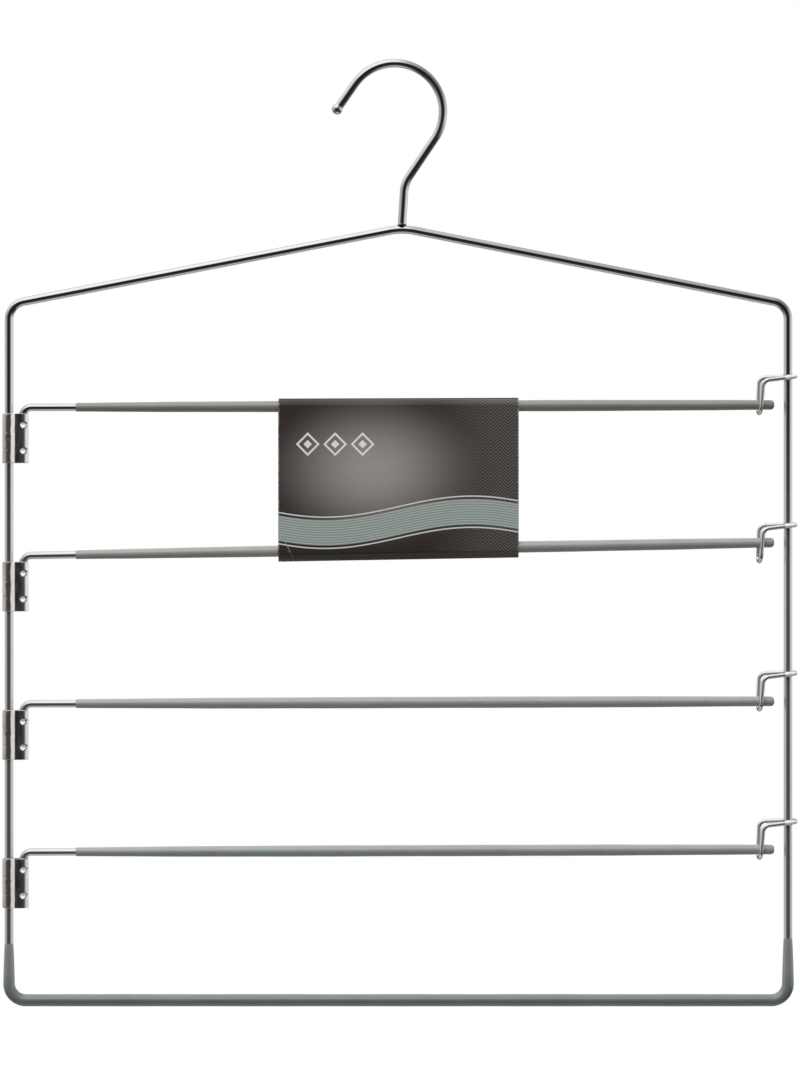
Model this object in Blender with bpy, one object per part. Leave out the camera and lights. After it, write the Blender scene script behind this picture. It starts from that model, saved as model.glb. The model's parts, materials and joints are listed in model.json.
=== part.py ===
"""Multi-tier trouser hanger: a bent wire frame with four arms that swing out on sheet-metal hinges.

Metres, +Z up, +X to the viewer's right, the viewer on the -Y side. The origin is the point under
the hook's crown that rests on the wardrobe rail. Tier 1 is the top arm.
"""
import math

import bmesh
import bpy
from mathutils import Vector

# Clearance kept between pieces that touch on the real hanger
SEAT_GAP = 0.0003
COAT_GAP = 0.00015              # between a dip coat and what it touches

# Frame: one closed loop of wire
FRAME_WIRE = 0.0040
FRAME_WIDTH = 0.3700            # between the centre lines of the uprights
TIER_COUNT = 4                  # swing arms; the bottom bar is one more tier
TIER_PITCH = 0.0704             # from bar to bar
TOP_SPACE = 0.0489              # top arm to the corner of shoulder and upright
SHOULDER_RISE = 0.0362          # corner to peak, before the bends round them off
PEAK_SHIFT = 0.0017             # peak to the right of the middle
SHOULDER_CORNER_RADIUS = 0.0085
PEAK_RADIUS = 0.0320
BOTTOM_CORNER_RADIUS = 0.0080

# Dip coat on the bottom bar and the foot of the uprights
COAT_WALL = 0.00075
COAT_LIP_WALL = 0.0002          # where the coat runs out on the uprights
COAT_LIP_TAPER = 0.0450         # from there along the wire to the full wall
COAT_CLIMB = 0.0270             # above the centre line of the bottom bar

# Hook, welded on the peak
HOOK_WIRE = 0.0040
HOOK_RADIUS = 0.0230            # centre line of the crown
HOOK_OFFSET = 0.0035            # crown's centre to the left of the shank
HOOK_SHANK = 0.01055            # straight part above the weld
HOOK_NECK_RADIUS = 0.0236
HOOK_LEAN = math.radians(34.0)  # of the straight part between neck and crown
HOOK_CROWN_END = math.radians(145.0)
HOOK_TIP = 0.0172               # straight part that ends in the head
HOOK_HEAD = 0.0052              # diameter of the upset head
HOOK_HEAD_LENGTH = 0.0040
HOOK_HEAD_NECK = 0.0006         # swelling from the wire to the head
HOOK_HEAD_ROUNDING = 0.0021

# Swing arms
ARM_WIRE = 0.0035
PIVOT_OFFSET = 0.0065           # hinge axis from the axis of the left upright
ARM_BEND_INNER_RADIUS = 0.00245
ARM_TIP_GAP = 0.0045            # free end to the right upright
ARM_REST_RISE = 0.0012          # free end above the hinge end, lying in its stirrup
CARD_LIFT = 0.0050              # how far the card holds the second arm up at its free end
LEG_RECESS = 0.0005             # foot of the leg above the clip's lower edge

# Dip coats on the arms
SLEEVE_START = 0.0248           # from the hinge axis
SLEEVE_START_WALL = 0.00035
SLEEVE_WALL = 0.0008
SLEEVE_SWELL = 0.0900           # length over which the wall grows
SLEEVE_TIP_WALL = 0.0005
SLEEVE_TIP_TAPER = 0.0100
SLEEVE_END_WALL = 0.0018        # closed end, past the wire
SLEEVE_ROUNDING = 0.0018

# Hinge clips: sheet strip round the upright and round the arm's leg
CLIP_SHEET = 0.0008
CLIP_HEIGHT = 0.0235
CLIP_SLOPE = math.radians(42.0)  # of a leaf where it leaves the upright
CLIP_WAIST = 0.00295            # bottom of the waist from the upright's axis
CLIP_WAIST_RADIUS = 0.0005
CLIP_STEP_LEAN = 0.0003         # step from the waist up to the knuckle's flat
CLIP_STEP_RADIUS = 0.00055
CLIP_SEAM = 0.0008              # between the strip's ends at the knuckle
CLIP_BEND_TUCK = 0.00125        # start of the arm's bend below the clip's upper edge
DIMPLE_HEIGHTS = (0.26, 0.78)   # of the clip's height
DIMPLE_RADIUS = 0.0013
DIMPLE_DEPTH = 0.0006
STAKE_GAP = 0.00012             # left between the stake and the upright

# Stirrups: hairpins that hold the free ends
STIRRUP_WIRE = 0.0020
STIRRUP_REACH = 0.0133          # legs to the left of the right upright
STIRRUP_DROP = 0.0153           # from the run to the bottom of the hairpin
STIRRUP_BEND_INNER_RADIUS = 0.0021
STIRRUP_RUN_SLOPE = math.radians(7.0)
STIRRUP_REAR_SLOPE = math.radians(3.5)
STIRRUP_LEG_LEAN = math.radians(5.0)
STIRRUP_TAIL = 0.0021           # front end past the upright's surface
STIRRUP_REAR_TAIL = 0.0026
STIRRUP_REAR_RISE = 0.0013      # the rear run lies higher
STIRRUP_REAR_SHIFT = 0.0007     # the rear leg stands further left

# Card wrapped round the two upper arms
CARD_SHEET = 0.0004
CARD_WIDTH = 0.1140
CARD_TIER_COUNT = 2             # arms that it goes round, from the top
CARD_CREASE_SLACK = 0.0019      # lower crease below a snug fit
CARD_CREASE_RADIUS = 0.0006
CARD_KNEE_RADIUS = 0.0016       # where the faces turn in towards the crease
CARD_KNEE_DROP = 0.0016         # below the axis of the lower arm

# Facets
WIRE_SIDES = 16
STIRRUP_SIDES = 8
BEND_STEP = math.radians(15.0)
LOBE_STEP = math.radians(22.5)
ROUNDING_STEPS = 3
SHARP_ANGLE = math.radians(40.0)
TURN_FIT = 0.995                # of the half width, so that two bends of one turn just miss

# Radii and places that follow from these sizes
FRAME_R = FRAME_WIRE / 2
ARM_R = ARM_WIRE / 2
STIRRUP_R = STIRRUP_WIRE / 2
HALF_WIDTH = FRAME_WIDTH / 2
CORNER_HEIGHT = TIER_COUNT * TIER_PITCH + TOP_SPACE
LEFT_CORNER = Vector((-HALF_WIDTH, 0.0, CORNER_HEIGHT))
RIGHT_CORNER = Vector((HALF_WIDTH, 0.0, CORNER_HEIGHT))
PEAK = Vector((PEAK_SHIFT, 0.0, CORNER_HEIGHT + SHOULDER_RISE))

COAT_BORE_R = FRAME_R + COAT_GAP
SLEEVE_BORE_R = ARM_R + COAT_GAP
SLEEVE_R = SLEEVE_BORE_R + SLEEVE_WALL

UPRIGHT_LOBE_R = FRAME_R + SEAT_GAP + CLIP_SHEET / 2
KNUCKLE_R = ARM_R + SEAT_GAP + CLIP_SHEET / 2

ARM_BEND_RADIUS = ARM_BEND_INNER_RADIUS + ARM_R
CLIP_TOP = CLIP_BEND_TUCK - ARM_BEND_RADIUS
CLIP_BOTTOM = CLIP_TOP - CLIP_HEIGHT
PIVOT_X = PIVOT_OFFSET - HALF_WIDTH
ARM_REACH = HALF_WIDTH - FRAME_R - ARM_TIP_GAP - PIVOT_X

CHROME = ((0.80, 0.80, 0.79), 1.0, 0.10)
PVC_GREY = ((0.20, 0.21, 0.20), 0.0, 0.48)
CARD_PRINT = ((0.035, 0.030, 0.028), 0.0, 0.40)


def make_material(name, finish):
    """Principled material from a colour, a metallic value and a roughness."""
    colour, metallic, roughness = finish
    material = bpy.data.materials.new(name)
    material.use_nodes = True
    shader = material.node_tree.nodes["Principled BSDF"]
    shader.inputs["Base Color"].default_value = (*colour, 1.0)
    shader.inputs["Metallic"].default_value = metallic
    shader.inputs["Roughness"].default_value = roughness
    return material


def make_empty(name, location, parent=None):
    empty = bpy.data.objects.new(name, None)
    bpy.context.scene.collection.objects.link(empty)
    empty.location = location
    empty.parent = parent
    return empty


def make_object(name, bm, material, parent, location=(0.0, 0.0, 0.0)):
    """Turn the faces outwards, shade them smooth and hang the piece under its parent."""
    bmesh.ops.recalc_face_normals(bm, faces=bm.faces)
    mesh = bpy.data.meshes.new(name)
    bm.to_mesh(mesh)
    bm.free()
    mesh.shade_smooth()
    mesh.set_sharp_from_angle(angle=SHARP_ANGLE)
    mesh.materials.append(material)
    obj = bpy.data.objects.new(name, mesh)
    bpy.context.scene.collection.objects.link(obj)
    obj.location = location
    obj.parent = parent
    return obj


def steps_for(angle, step):
    """Even number of steps that an arc of this angle is cut into."""
    return 2 * max(1, math.ceil(round(abs(angle) / (2 * step), 6)))


def arc_xz(centre, radius, start, end, step=BEND_STEP):
    """Points on an arc in the XZ plane."""
    count = steps_for(end - start, step)
    points = []
    for i in range(count + 1):
        angle = start + (end - start) * i / count
        points.append(centre + radius * Vector((math.cos(angle), 0.0, math.sin(angle))))
    return points


def corner_centre(before, corner, after, radius):
    """Centre of the arc that rounds a corner, and the angle that the arc turns through."""
    to_before = (before - corner).normalized()
    to_after = (after - corner).normalized()
    turn = math.pi - to_before.angle(to_after)
    inward = (to_before + to_after).normalized()
    return corner + inward * (radius / math.cos(turn / 2)), turn


def rounded_corner(before, corner, after, radius, step=BEND_STEP):
    """Arc that rounds one corner of a bent wire's centre line."""
    centre, turn = corner_centre(before, corner, after, radius)
    to_before = (before - corner).normalized()
    tangent = radius * math.tan(turn / 2)
    start_arm = (corner + to_before * tangent - centre).normalized()
    forward = -to_before
    count = steps_for(turn, step)
    points = []
    for i in range(count + 1):
        angle = turn * i / count
        points.append(centre + (start_arm * math.cos(angle) + forward * math.sin(angle)) * radius)
    return points


def bent_wire(corners, radii):
    """Centre line of a bent wire: a corner has its bend radius, and a plain point has None."""
    corners = [Vector(corner) for corner in corners]
    count = len(corners)
    points = []
    for i, (corner, radius) in enumerate(zip(corners, radii)):
        if radius is None:
            points.append(corner)
        else:
            points.extend(rounded_corner(corners[i - 1], corner, corners[(i + 1) % count], radius))
    return points


def rings_along(bm, path, radii, sides, closed=False):
    """Rings of vertices square to a centre line, carried along it without twist."""
    last = len(path) - 1
    rings = []
    normal = Vector((0.0, 1.0, 0.0))
    for i, point in enumerate(path):
        before = path[i - 1] if i > 0 or closed else point
        after = path[(i + 1) % len(path)] if i < last or closed else point
        ahead = (after - point).normalized() if after != point else Vector()
        behind = (point - before).normalized() if before != point else Vector()
        tangent = (ahead + behind).normalized()
        normal = (normal - tangent * normal.dot(tangent)).normalized()
        side = tangent.cross(normal)
        ring = []
        for k in range(sides):
            angle = 2 * math.pi * k / sides
            offset = normal * math.cos(angle) + side * math.sin(angle)
            ring.append(bm.verts.new(point + offset * radii[i]))
        rings.append(ring)
    return rings


def bridge(bm, ring_a, ring_b):
    """Faces between two rings of equal count."""
    count = len(ring_a)
    for k in range(count):
        n = (k + 1) % count
        bm.faces.new((ring_a[k], ring_a[n], ring_b[n], ring_b[k]))


def solid_wire(path, radii, sides=WIRE_SIDES, closed=False):
    """Round wire along a centre line, with flat ends unless it is a closed loop."""
    bm = bmesh.new()
    rings = rings_along(bm, path, radii, sides, closed)
    for ring_a, ring_b in zip(rings, rings[1:]):
        bridge(bm, ring_a, ring_b)
    if closed:
        bridge(bm, rings[-1], rings[0])
    else:
        bm.faces.new(rings[0])
        bm.faces.new(rings[-1])
    return bm


def hollow_tube(path, outer_radii, bore_radius, sides=WIRE_SIDES):
    """Tube along a centre line, open at both ends."""
    bm = bmesh.new()
    outer = rings_along(bm, path, outer_radii, sides)
    inner = rings_along(bm, path, [bore_radius] * len(path), sides)
    for rings in (outer, inner):
        for ring_a, ring_b in zip(rings, rings[1:]):
            bridge(bm, ring_a, ring_b)
    bridge(bm, outer[0], inner[0])
    bridge(bm, outer[-1], inner[-1])
    return bm


def turned(profile, axis, sides=WIRE_SIDES):
    """Closed body turned round an axis from (distance, radius) pairs; radius 0 is a point on it."""
    bm = bmesh.new()
    path = [axis * distance for distance, _ in profile]
    rings = []
    normal = Vector((0.0, 1.0, 0.0))
    side = axis.cross(normal)
    for point, (_, radius) in zip(path, profile):
        if radius == 0.0:
            rings.append([bm.verts.new(point)])
            continue
        ring = []
        for k in range(sides):
            angle = 2 * math.pi * k / sides
            ring.append(bm.verts.new(point + (normal * math.cos(angle) + side * math.sin(angle)) * radius))
        rings.append(ring)
    for ring_a, ring_b in zip(rings, rings[1:] + rings[:1]):
        if len(ring_a) == 1 and len(ring_b) == 1:
            continue
        if len(ring_a) == len(ring_b):
            bridge(bm, ring_a, ring_b)
            continue
        point, ring = (ring_a[0], ring_b) if len(ring_a) == 1 else (ring_b[0], ring_a)
        for k in range(sides):
            bm.faces.new((point, ring[k], ring[(k + 1) % sides]))
    return bm


def rounded_end(end, radius, rounding):
    """Distances and radii over which a round body runs out in a rounded end."""
    profile = []
    for step in range(ROUNDING_STEPS + 1):
        angle = math.pi / 2 * step / ROUNDING_STEPS
        inset = rounding * (1 - math.sin(angle))
        profile.append((end - inset, radius - rounding * (1 - math.cos(angle))))
    return profile


def sheet_body(rows, normals, thickness, closed):
    """Sheet of even thickness on both sides of a grid of mid-surface points."""
    bm = bmesh.new()
    skins = []
    for sign in (0.5, -0.5):
        skin = []
        for row, row_normals in zip(rows, normals):
            skin.append([bm.verts.new(p + n * (sign * thickness)) for p, n in zip(row, row_normals)])
        skins.append(skin)
    outer, inner = skins
    columns = len(rows[0])
    spans = columns if closed else columns - 1
    for skin in skins:
        for row_a, row_b in zip(skin, skin[1:]):
            for k in range(spans):
                n = (k + 1) % columns
                bm.faces.new((row_a[k], row_a[n], row_b[n], row_b[k]))
    for edge in (0, -1):
        for k in range(spans):
            n = (k + 1) % columns
            bm.faces.new((outer[edge][k], outer[edge][n], inner[edge][n], inner[edge][k]))
    if not closed:
        for column in (0, -1):
            for i in range(len(rows) - 1):
                corners = [skin[j][column] for skin, j in ((outer, i), (outer, i + 1))]
                corners += [skin[j][column] for skin, j in ((inner, i + 1), (inner, i))]
                bm.faces.new(corners)
    return bm


def frame_wire():
    corners = (
        (-HALF_WIDTH, 0.0, 0.0),
        (HALF_WIDTH, 0.0, 0.0),
        RIGHT_CORNER,
        PEAK,
        LEFT_CORNER,
    )
    radii = (
        BOTTOM_CORNER_RADIUS,
        BOTTOM_CORNER_RADIUS,
        SHOULDER_CORNER_RADIUS,
        PEAK_RADIUS,
        SHOULDER_CORNER_RADIUS,
    )
    path = bent_wire(corners, radii)
    return solid_wire(path, [FRAME_R] * len(path), closed=True)


def frame_coating():
    """Coat whose wall grows down the uprights and round the corners to its full strength on the bar."""
    past_corner = COAT_LIP_TAPER - (COAT_CLIMB - BOTTOM_CORNER_RADIUS) - BOTTOM_CORNER_RADIUS * math.pi / 2
    full_x = HALF_WIDTH - BOTTOM_CORNER_RADIUS - past_corner
    corners = (
        (-HALF_WIDTH, 0.0, COAT_CLIMB),
        (-HALF_WIDTH, 0.0, 0.0),
        (-full_x, 0.0, 0.0),
        (full_x, 0.0, 0.0),
        (HALF_WIDTH, 0.0, 0.0),
        (HALF_WIDTH, 0.0, COAT_CLIMB),
    )
    path = bent_wire(corners, (None, BOTTOM_CORNER_RADIUS, None, None, BOTTOM_CORNER_RADIUS, None))
    lengths = [0.0]
    for start, end in zip(path, path[1:]):
        lengths.append(lengths[-1] + (end - start).length)
    outer = []
    for length in lengths:
        from_lip = min(length, lengths[-1] - length)
        share = min(1.0, from_lip / COAT_LIP_TAPER)
        outer.append(COAT_BORE_R + COAT_LIP_WALL + (COAT_WALL - COAT_LIP_WALL) * share)
    return hollow_tube(path, outer, COAT_BORE_R)


def hook_foot():
    """Foot of the shank, on top of the frame's peak."""
    centre, _ = corner_centre(LEFT_CORNER, PEAK, RIGHT_CORNER, PEAK_RADIUS)
    return centre + Vector((0.0, 0.0, PEAK_RADIUS + FRAME_R + SEAT_GAP))


def hook_head():
    """Upset head at the tip: distances from the end of the crown and radii."""
    head_start = HOOK_TIP - HOOK_HEAD_LENGTH
    profile = [(head_start - HOOK_HEAD_NECK, HOOK_WIRE / 2), (head_start, HOOK_HEAD / 2)]
    profile += rounded_end(HOOK_TIP, HOOK_HEAD / 2, HOOK_HEAD_ROUNDING)
    return profile


def hook_path():
    """Centre line of the hook from the weld to the tip, and the height of its seat on the rail."""
    foot = hook_foot()
    neck_centre = foot + Vector((HOOK_NECK_RADIUS, 0.0, HOOK_SHANK))
    neck = arc_xz(neck_centre, HOOK_NECK_RADIUS, math.pi, math.pi - HOOK_LEAN)
    along = Vector((math.sin(HOOK_LEAN), 0.0, math.cos(HOOK_LEAN)))
    crown_start = Vector((math.cos(HOOK_LEAN), 0.0, -math.sin(HOOK_LEAN))) * HOOK_RADIUS
    straight = (foot.x + crown_start.x - HOOK_OFFSET - neck[-1].x) / along.x
    crown_centre = neck[-1] + along * straight - crown_start
    crown = arc_xz(crown_centre, HOOK_RADIUS, -HOOK_LEAN, math.pi / 2)
    crown += arc_xz(crown_centre, HOOK_RADIUS, math.pi / 2, HOOK_CROWN_END)[1:]
    to_tip = Vector((-math.sin(HOOK_CROWN_END), 0.0, math.cos(HOOK_CROWN_END)))
    tip = [crown[-1] + to_tip * distance for distance, _ in hook_head()]
    path = [foot, *neck, *crown, *tip]
    seat = crown_centre.z + HOOK_RADIUS - HOOK_WIRE / 2
    return path, seat


def hook(path):
    head = [radius for _, radius in hook_head()]
    radii = [HOOK_WIRE / 2] * (len(path) - len(head)) + head
    return solid_wire(path, radii)


def arm_direction(tier):
    """Unit vector along an arm's bar, which rises a little towards its free end."""
    rise = ARM_REST_RISE
    if tier == CARD_TIER_COUNT:
        rise += CARD_LIFT
    return Vector((ARM_REACH, 0.0, rise)).normalized()


def arm_height(tier):
    """Where the bar's axis crosses the hinge axis, above the bottom bar."""
    return (TIER_COUNT + 1 - tier) * TIER_PITCH


def arm_wire(tier):
    """Arm with its bent down leg; two grooves in the leg take the clip's dimples."""
    end = arm_direction(tier) * (ARM_REACH - SLEEVE_END_WALL - SEAT_GAP)
    foot = Vector((0.0, 0.0, CLIP_BOTTOM + LEG_RECESS))
    bend = rounded_corner(foot, Vector((0.0, 0.0, 0.0)), end, ARM_BEND_RADIUS)
    groove_r = ARM_R - DIMPLE_DEPTH
    brim = DIMPLE_RADIUS * max(0.0, 1 - SEAT_GAP / DIMPLE_DEPTH) + SEAT_GAP
    path = [foot]
    radii = [ARM_R]
    for share in DIMPLE_HEIGHTS:
        middle = CLIP_BOTTOM + CLIP_HEIGHT * share
        for offset, radius in ((-brim, ARM_R), (-SEAT_GAP, groove_r), (SEAT_GAP, groove_r), (brim, ARM_R)):
            path.append(Vector((0.0, 0.0, middle + offset)))
            radii.append(radius)
    path += [*bend, end]
    radii += [ARM_R] * (len(bend) + 1)
    return solid_wire(path, radii)


def arm_sleeve(tier):
    tip_r = SLEEVE_BORE_R + SLEEVE_TIP_WALL
    start_r = SLEEVE_BORE_R + SLEEVE_START_WALL
    profile = [
        (SLEEVE_START, SLEEVE_BORE_R),
        (SLEEVE_START, start_r - SLEEVE_START_WALL / 2),
        (SLEEVE_START + SLEEVE_START_WALL, start_r),
        (SLEEVE_START + SLEEVE_SWELL, SLEEVE_R),
        (ARM_REACH - SLEEVE_TIP_TAPER, SLEEVE_R),
    ]
    profile += rounded_end(ARM_REACH, tip_r, SLEEVE_ROUNDING)
    profile += [
        (ARM_REACH, 0.0),
        (ARM_REACH - SLEEVE_END_WALL, 0.0),
        (ARM_REACH - SLEEVE_END_WALL, SLEEVE_BORE_R),
    ]
    return turned(profile, arm_direction(tier))


def clip_strip():
    """Mid line of the clip's strip seen from above, with its outward normals.

    The upright's axis is the origin and the knuckle's is at +X. The strip starts at the knuckle's
    seam, runs along the knuckle's flat front, down into the waist and up round the upright, and the
    rear mirrors the front.
    """
    seam = math.asin(min(1.0, CLIP_SEAM / 2 / KNUCKLE_R))
    knuckle = Vector((PIVOT_OFFSET, 0.0, 0.0))
    front = -math.pi / 2
    leaving = front + CLIP_SLOPE
    lobe_start = Vector((math.cos(leaving), math.sin(leaving), 0.0)) * UPRIGHT_LOBE_R
    waist_y = lobe_start.y + (CLIP_WAIST - lobe_start.x) * math.tan(CLIP_SLOPE)
    waist = Vector((CLIP_WAIST, waist_y, 0.0))
    step = Vector((CLIP_WAIST + CLIP_STEP_LEAN, -KNUCKLE_R, 0.0))
    flat_end = Vector((PIVOT_OFFSET, -KNUCKLE_R, 0.0))
    points = []
    normals = []

    def add_arc(centre, radius, start, end):
        count = max(1, round(abs(end - start) / LOBE_STEP))
        for i in range(count + 1):
            angle = start + (end - start) * i / count
            radial = Vector((math.cos(angle), math.sin(angle), 0.0))
            points.append(centre + radial * radius)
            normals.append(radial)

    def add_corner(before, corner, after, radius, side):
        centre, _ = corner_centre(before, corner, after, radius)
        for point in rounded_corner(before, corner, after, radius, LOBE_STEP):
            points.append(point)
            normals.append((point - centre).normalized() * side)

    add_arc(knuckle, KNUCKLE_R, -seam, front)
    points.append(flat_end - Vector((DIMPLE_RADIUS, 0.0, 0.0)))
    normals.append(Vector((0.0, -1.0, 0.0)))
    add_corner(flat_end, step, waist, CLIP_STEP_RADIUS, 1.0)
    add_corner(step, waist, lobe_start, CLIP_WAIST_RADIUS, -1.0)
    add_arc(Vector(), UPRIGHT_LOBE_R, leaving, front)
    points.pop()
    normals.pop()
    add_arc(Vector(), UPRIGHT_LOBE_R, front, -math.pi)
    mirror = Vector((1.0, -1.0, 1.0))
    points += [point * mirror for point in points[-2::-1]]
    normals += [normal * mirror for normal in normals[-2::-1]]
    return points, normals


def hinge_clip():
    """Clip with two dimples in the front of the knuckle and a stake in the front of the other lobe."""
    points, normals = clip_strip()
    dimples = [(PIVOT_OFFSET, share, DIMPLE_DEPTH) for share in DIMPLE_HEIGHTS]
    dimples.append((0.0, sum(DIMPLE_HEIGHTS) / 2, SEAT_GAP - STAKE_GAP))
    levels = {0.0: None, CLIP_HEIGHT: None}
    for axis_x, share, depth in dimples:
        middle = CLIP_HEIGHT * share
        levels.setdefault(middle - DIMPLE_RADIUS)
        levels[middle] = (axis_x, depth)
        levels.setdefault(middle + DIMPLE_RADIUS)
    rows = []
    for level in sorted(levels):
        row = [point + Vector((0.0, 0.0, CLIP_BOTTOM + level)) for point in points]
        if levels[level]:
            axis_x, depth = levels[level]
            front = Vector((axis_x, -KNUCKLE_R, 0.0))
            distances = [(point - front).length for point in points]
            target = distances.index(min(distances))
            row[target] = row[target] - normals[target] * depth
        rows.append(row)
    return sheet_body(rows, [normals] * len(rows), CLIP_SHEET, closed=False)


def stirrup():
    """Hairpin round the arm's free end; its origin is on the right upright at the arm's height."""
    half = SLEEVE_R + SEAT_GAP + STIRRUP_R
    weld_half = FRAME_R + SEAT_GAP + STIRRUP_R
    seat_x = HALF_WIDTH - STIRRUP_REACH - PIVOT_X
    seat = seat_x * ARM_REST_RISE / ARM_REACH
    bottom = seat - SLEEVE_R - COAT_GAP - STIRRUP_R

    def leg_and_run(side, shift, rise, slope, tail):
        """Bottom corner, top corner and free end of one half of the hairpin."""
        foot_x = -STIRRUP_REACH - shift
        top = STIRRUP_DROP + rise
        top_x = foot_x + top * math.tan(STIRRUP_LEG_LEAN)
        tail_x = FRAME_R + tail
        end_z = bottom + top + (tail_x - top_x) * math.tan(slope)
        spread = (half - weld_half) / (0.0 - top_x)
        return (
            Vector((foot_x, side * half, bottom)),
            Vector((top_x, side * half, bottom + top)),
            Vector((tail_x, side * (weld_half - spread * tail_x), end_z)),
        )

    front_foot, front_top, front_end = leg_and_run(-1.0, 0.0, 0.0, STIRRUP_RUN_SLOPE, STIRRUP_TAIL)
    rear_foot, rear_top, rear_end = leg_and_run(
        1.0, STIRRUP_REAR_SHIFT, STIRRUP_REAR_RISE, STIRRUP_REAR_SLOPE, STIRRUP_REAR_TAIL)
    corners = (front_end, front_top, front_foot, rear_foot, rear_top, rear_end)
    bend = STIRRUP_BEND_INNER_RADIUS + STIRRUP_R
    turn = half * TURN_FIT
    path = bent_wire(corners, (None, bend, turn, turn, bend, None))
    return solid_wire(path, [STIRRUP_R] * len(path), STIRRUP_SIDES)


def card_profile(top, lower):
    """Mid line of the card in the YZ plane: round over the upper arm, creased under the lower one."""
    half = SLEEVE_R + SEAT_GAP + CARD_SHEET / 2
    crease = lower - half - CARD_CREASE_SLACK
    knee = lower - CARD_KNEE_DROP
    corners = (
        (0.0, -half, top + half),
        (0.0, half, top + half),
        (0.0, half, knee),
        (0.0, 0.0, crease),
        (0.0, -half, knee),
    )
    over = half * TURN_FIT
    radii = (over, over, CARD_KNEE_RADIUS, CARD_CREASE_RADIUS, CARD_KNEE_RADIUS)
    return bent_wire(corners, radii)


def loop_normals(points):
    """Outward normals of a closed loop in the YZ plane."""
    normals = []
    for k, _ in enumerate(points):
        along = points[(k + 1) % len(points)] - points[k - 1]
        normals.append(Vector((0.0, along.z, -along.y)).normalized())
    return normals


def card_sleeve():
    """Card round the two upper arms, in the frame of the top arm's hinge point."""
    rows = []
    normals = []
    upper, lower = 1, CARD_TIER_COUNT
    below = arm_height(lower) - arm_height(upper)
    for side in (-0.5, 0.5):
        x = side * CARD_WIDTH - PIVOT_X
        upper_z = x * arm_direction(upper).z / arm_direction(upper).x
        lower_z = below + x * arm_direction(lower).z / arm_direction(lower).x
        profile = card_profile(upper_z, lower_z)
        rows.append([point + Vector((x, 0.0, 0.0)) for point in profile])
        outward = loop_normals(profile)
        centre = Vector((0.0, 0.0, (upper_z + lower_z) / 2))
        if (profile[0] - centre).dot(outward[0]) < 0.0:
            outward = [-normal for normal in outward]
        normals.append(outward)
    return sheet_body(rows, normals, CARD_SHEET, closed=True)


def build():
    for obj in list(bpy.data.objects):
        bpy.data.objects.remove(obj, do_unlink=True)
    chrome = make_material("chrome", CHROME)
    pvc = make_material("grey_pvc", PVC_GREY)
    card = make_material("printed_card", CARD_PRINT)

    path, seat_height = hook_path()
    hanger = make_empty("hanger", (HOOK_OFFSET - hook_foot().x, 0.0, -seat_height))
    make_object("frame_wire", frame_wire(), chrome, hanger)
    make_object("frame_coating", frame_coating(), pvc, hanger)
    make_object("hook", hook(path), chrome, hanger)
    for tier in range(1, TIER_COUNT + 1):
        height = arm_height(tier)
        make_object(f"hinge_clip_{tier}", hinge_clip(), chrome, hanger, (-HALF_WIDTH, 0.0, height))
        make_object(f"stirrup_{tier}", stirrup(), chrome, hanger, (HALF_WIDTH, 0.0, height))
        pivot = make_empty(f"arm_{tier}_pivot", (PIVOT_X, 0.0, height), hanger)
        make_object(f"arm_wire_{tier}", arm_wire(tier), chrome, pivot)
        make_object(f"arm_sleeve_{tier}", arm_sleeve(tier), pvc, pivot)
        if tier == 1:
            make_object("card_sleeve", card_sleeve(), card, pivot)


build()
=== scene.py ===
"""Looks of the multi-tier trouser hanger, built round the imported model.

Metres, +Z up, +X to the viewer's right, the viewer on the -Y side. The origin is the point under
the hook's crown that rests on the rail.
"""
import json
import math
from functools import partialmethod

import bmesh
import bpy
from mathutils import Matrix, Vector


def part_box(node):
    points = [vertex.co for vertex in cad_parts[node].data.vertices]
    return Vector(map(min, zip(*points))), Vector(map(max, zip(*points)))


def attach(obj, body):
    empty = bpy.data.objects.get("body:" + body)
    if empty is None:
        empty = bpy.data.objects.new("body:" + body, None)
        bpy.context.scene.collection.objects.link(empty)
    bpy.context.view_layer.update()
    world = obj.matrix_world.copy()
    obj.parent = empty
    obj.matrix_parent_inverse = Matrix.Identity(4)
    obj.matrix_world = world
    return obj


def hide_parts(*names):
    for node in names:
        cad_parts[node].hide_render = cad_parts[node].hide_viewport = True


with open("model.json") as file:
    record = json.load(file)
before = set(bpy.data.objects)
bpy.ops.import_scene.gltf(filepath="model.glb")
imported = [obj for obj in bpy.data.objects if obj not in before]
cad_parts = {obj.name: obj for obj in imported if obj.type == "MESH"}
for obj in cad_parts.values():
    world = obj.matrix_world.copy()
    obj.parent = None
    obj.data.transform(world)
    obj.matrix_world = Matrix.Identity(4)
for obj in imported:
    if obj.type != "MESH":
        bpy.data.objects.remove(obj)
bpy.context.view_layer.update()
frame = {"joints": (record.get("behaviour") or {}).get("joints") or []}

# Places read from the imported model
wire_low, wire_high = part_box("frame_wire")
_, coat_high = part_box("frame_coating")
sleeve_low, sleeve_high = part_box("arm_sleeve_1")
leg_low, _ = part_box("arm_wire_1")
clip_low, clip_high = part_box("hinge_clip_1")
card_low, card_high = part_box("card_sleeve")
pivots = [Vector(joint["pos_m"]) for joint in frame["joints"]]

FRAME_R = (wire_high.y - wire_low.y) / 2
LEFT_X = wire_low.x + FRAME_R
RIGHT_X = wire_high.x - FRAME_R
MIDDLE_X = (LEFT_X + RIGHT_X) / 2
BAR_Z = wire_low.z + FRAME_R
PIVOT_OFFSET = pivots[0].x - LEFT_X
ARM_R = pivots[0].x - leg_low.x
ARM_REACH = sleeve_high.x - pivots[0].x
SLEEVE_LOW = sleeve_low.x - pivots[0].x
SLEEVE_R = sleeve_high.y
COAT_R = coat_high.y
COAT_TOP = coat_high.z
CLIP_TOP = clip_high.z - pivots[0].z
CLIP_BOTTOM = clip_low.z - pivots[0].z
CARD_MIDDLE = (card_low + card_high) / 2

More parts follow.
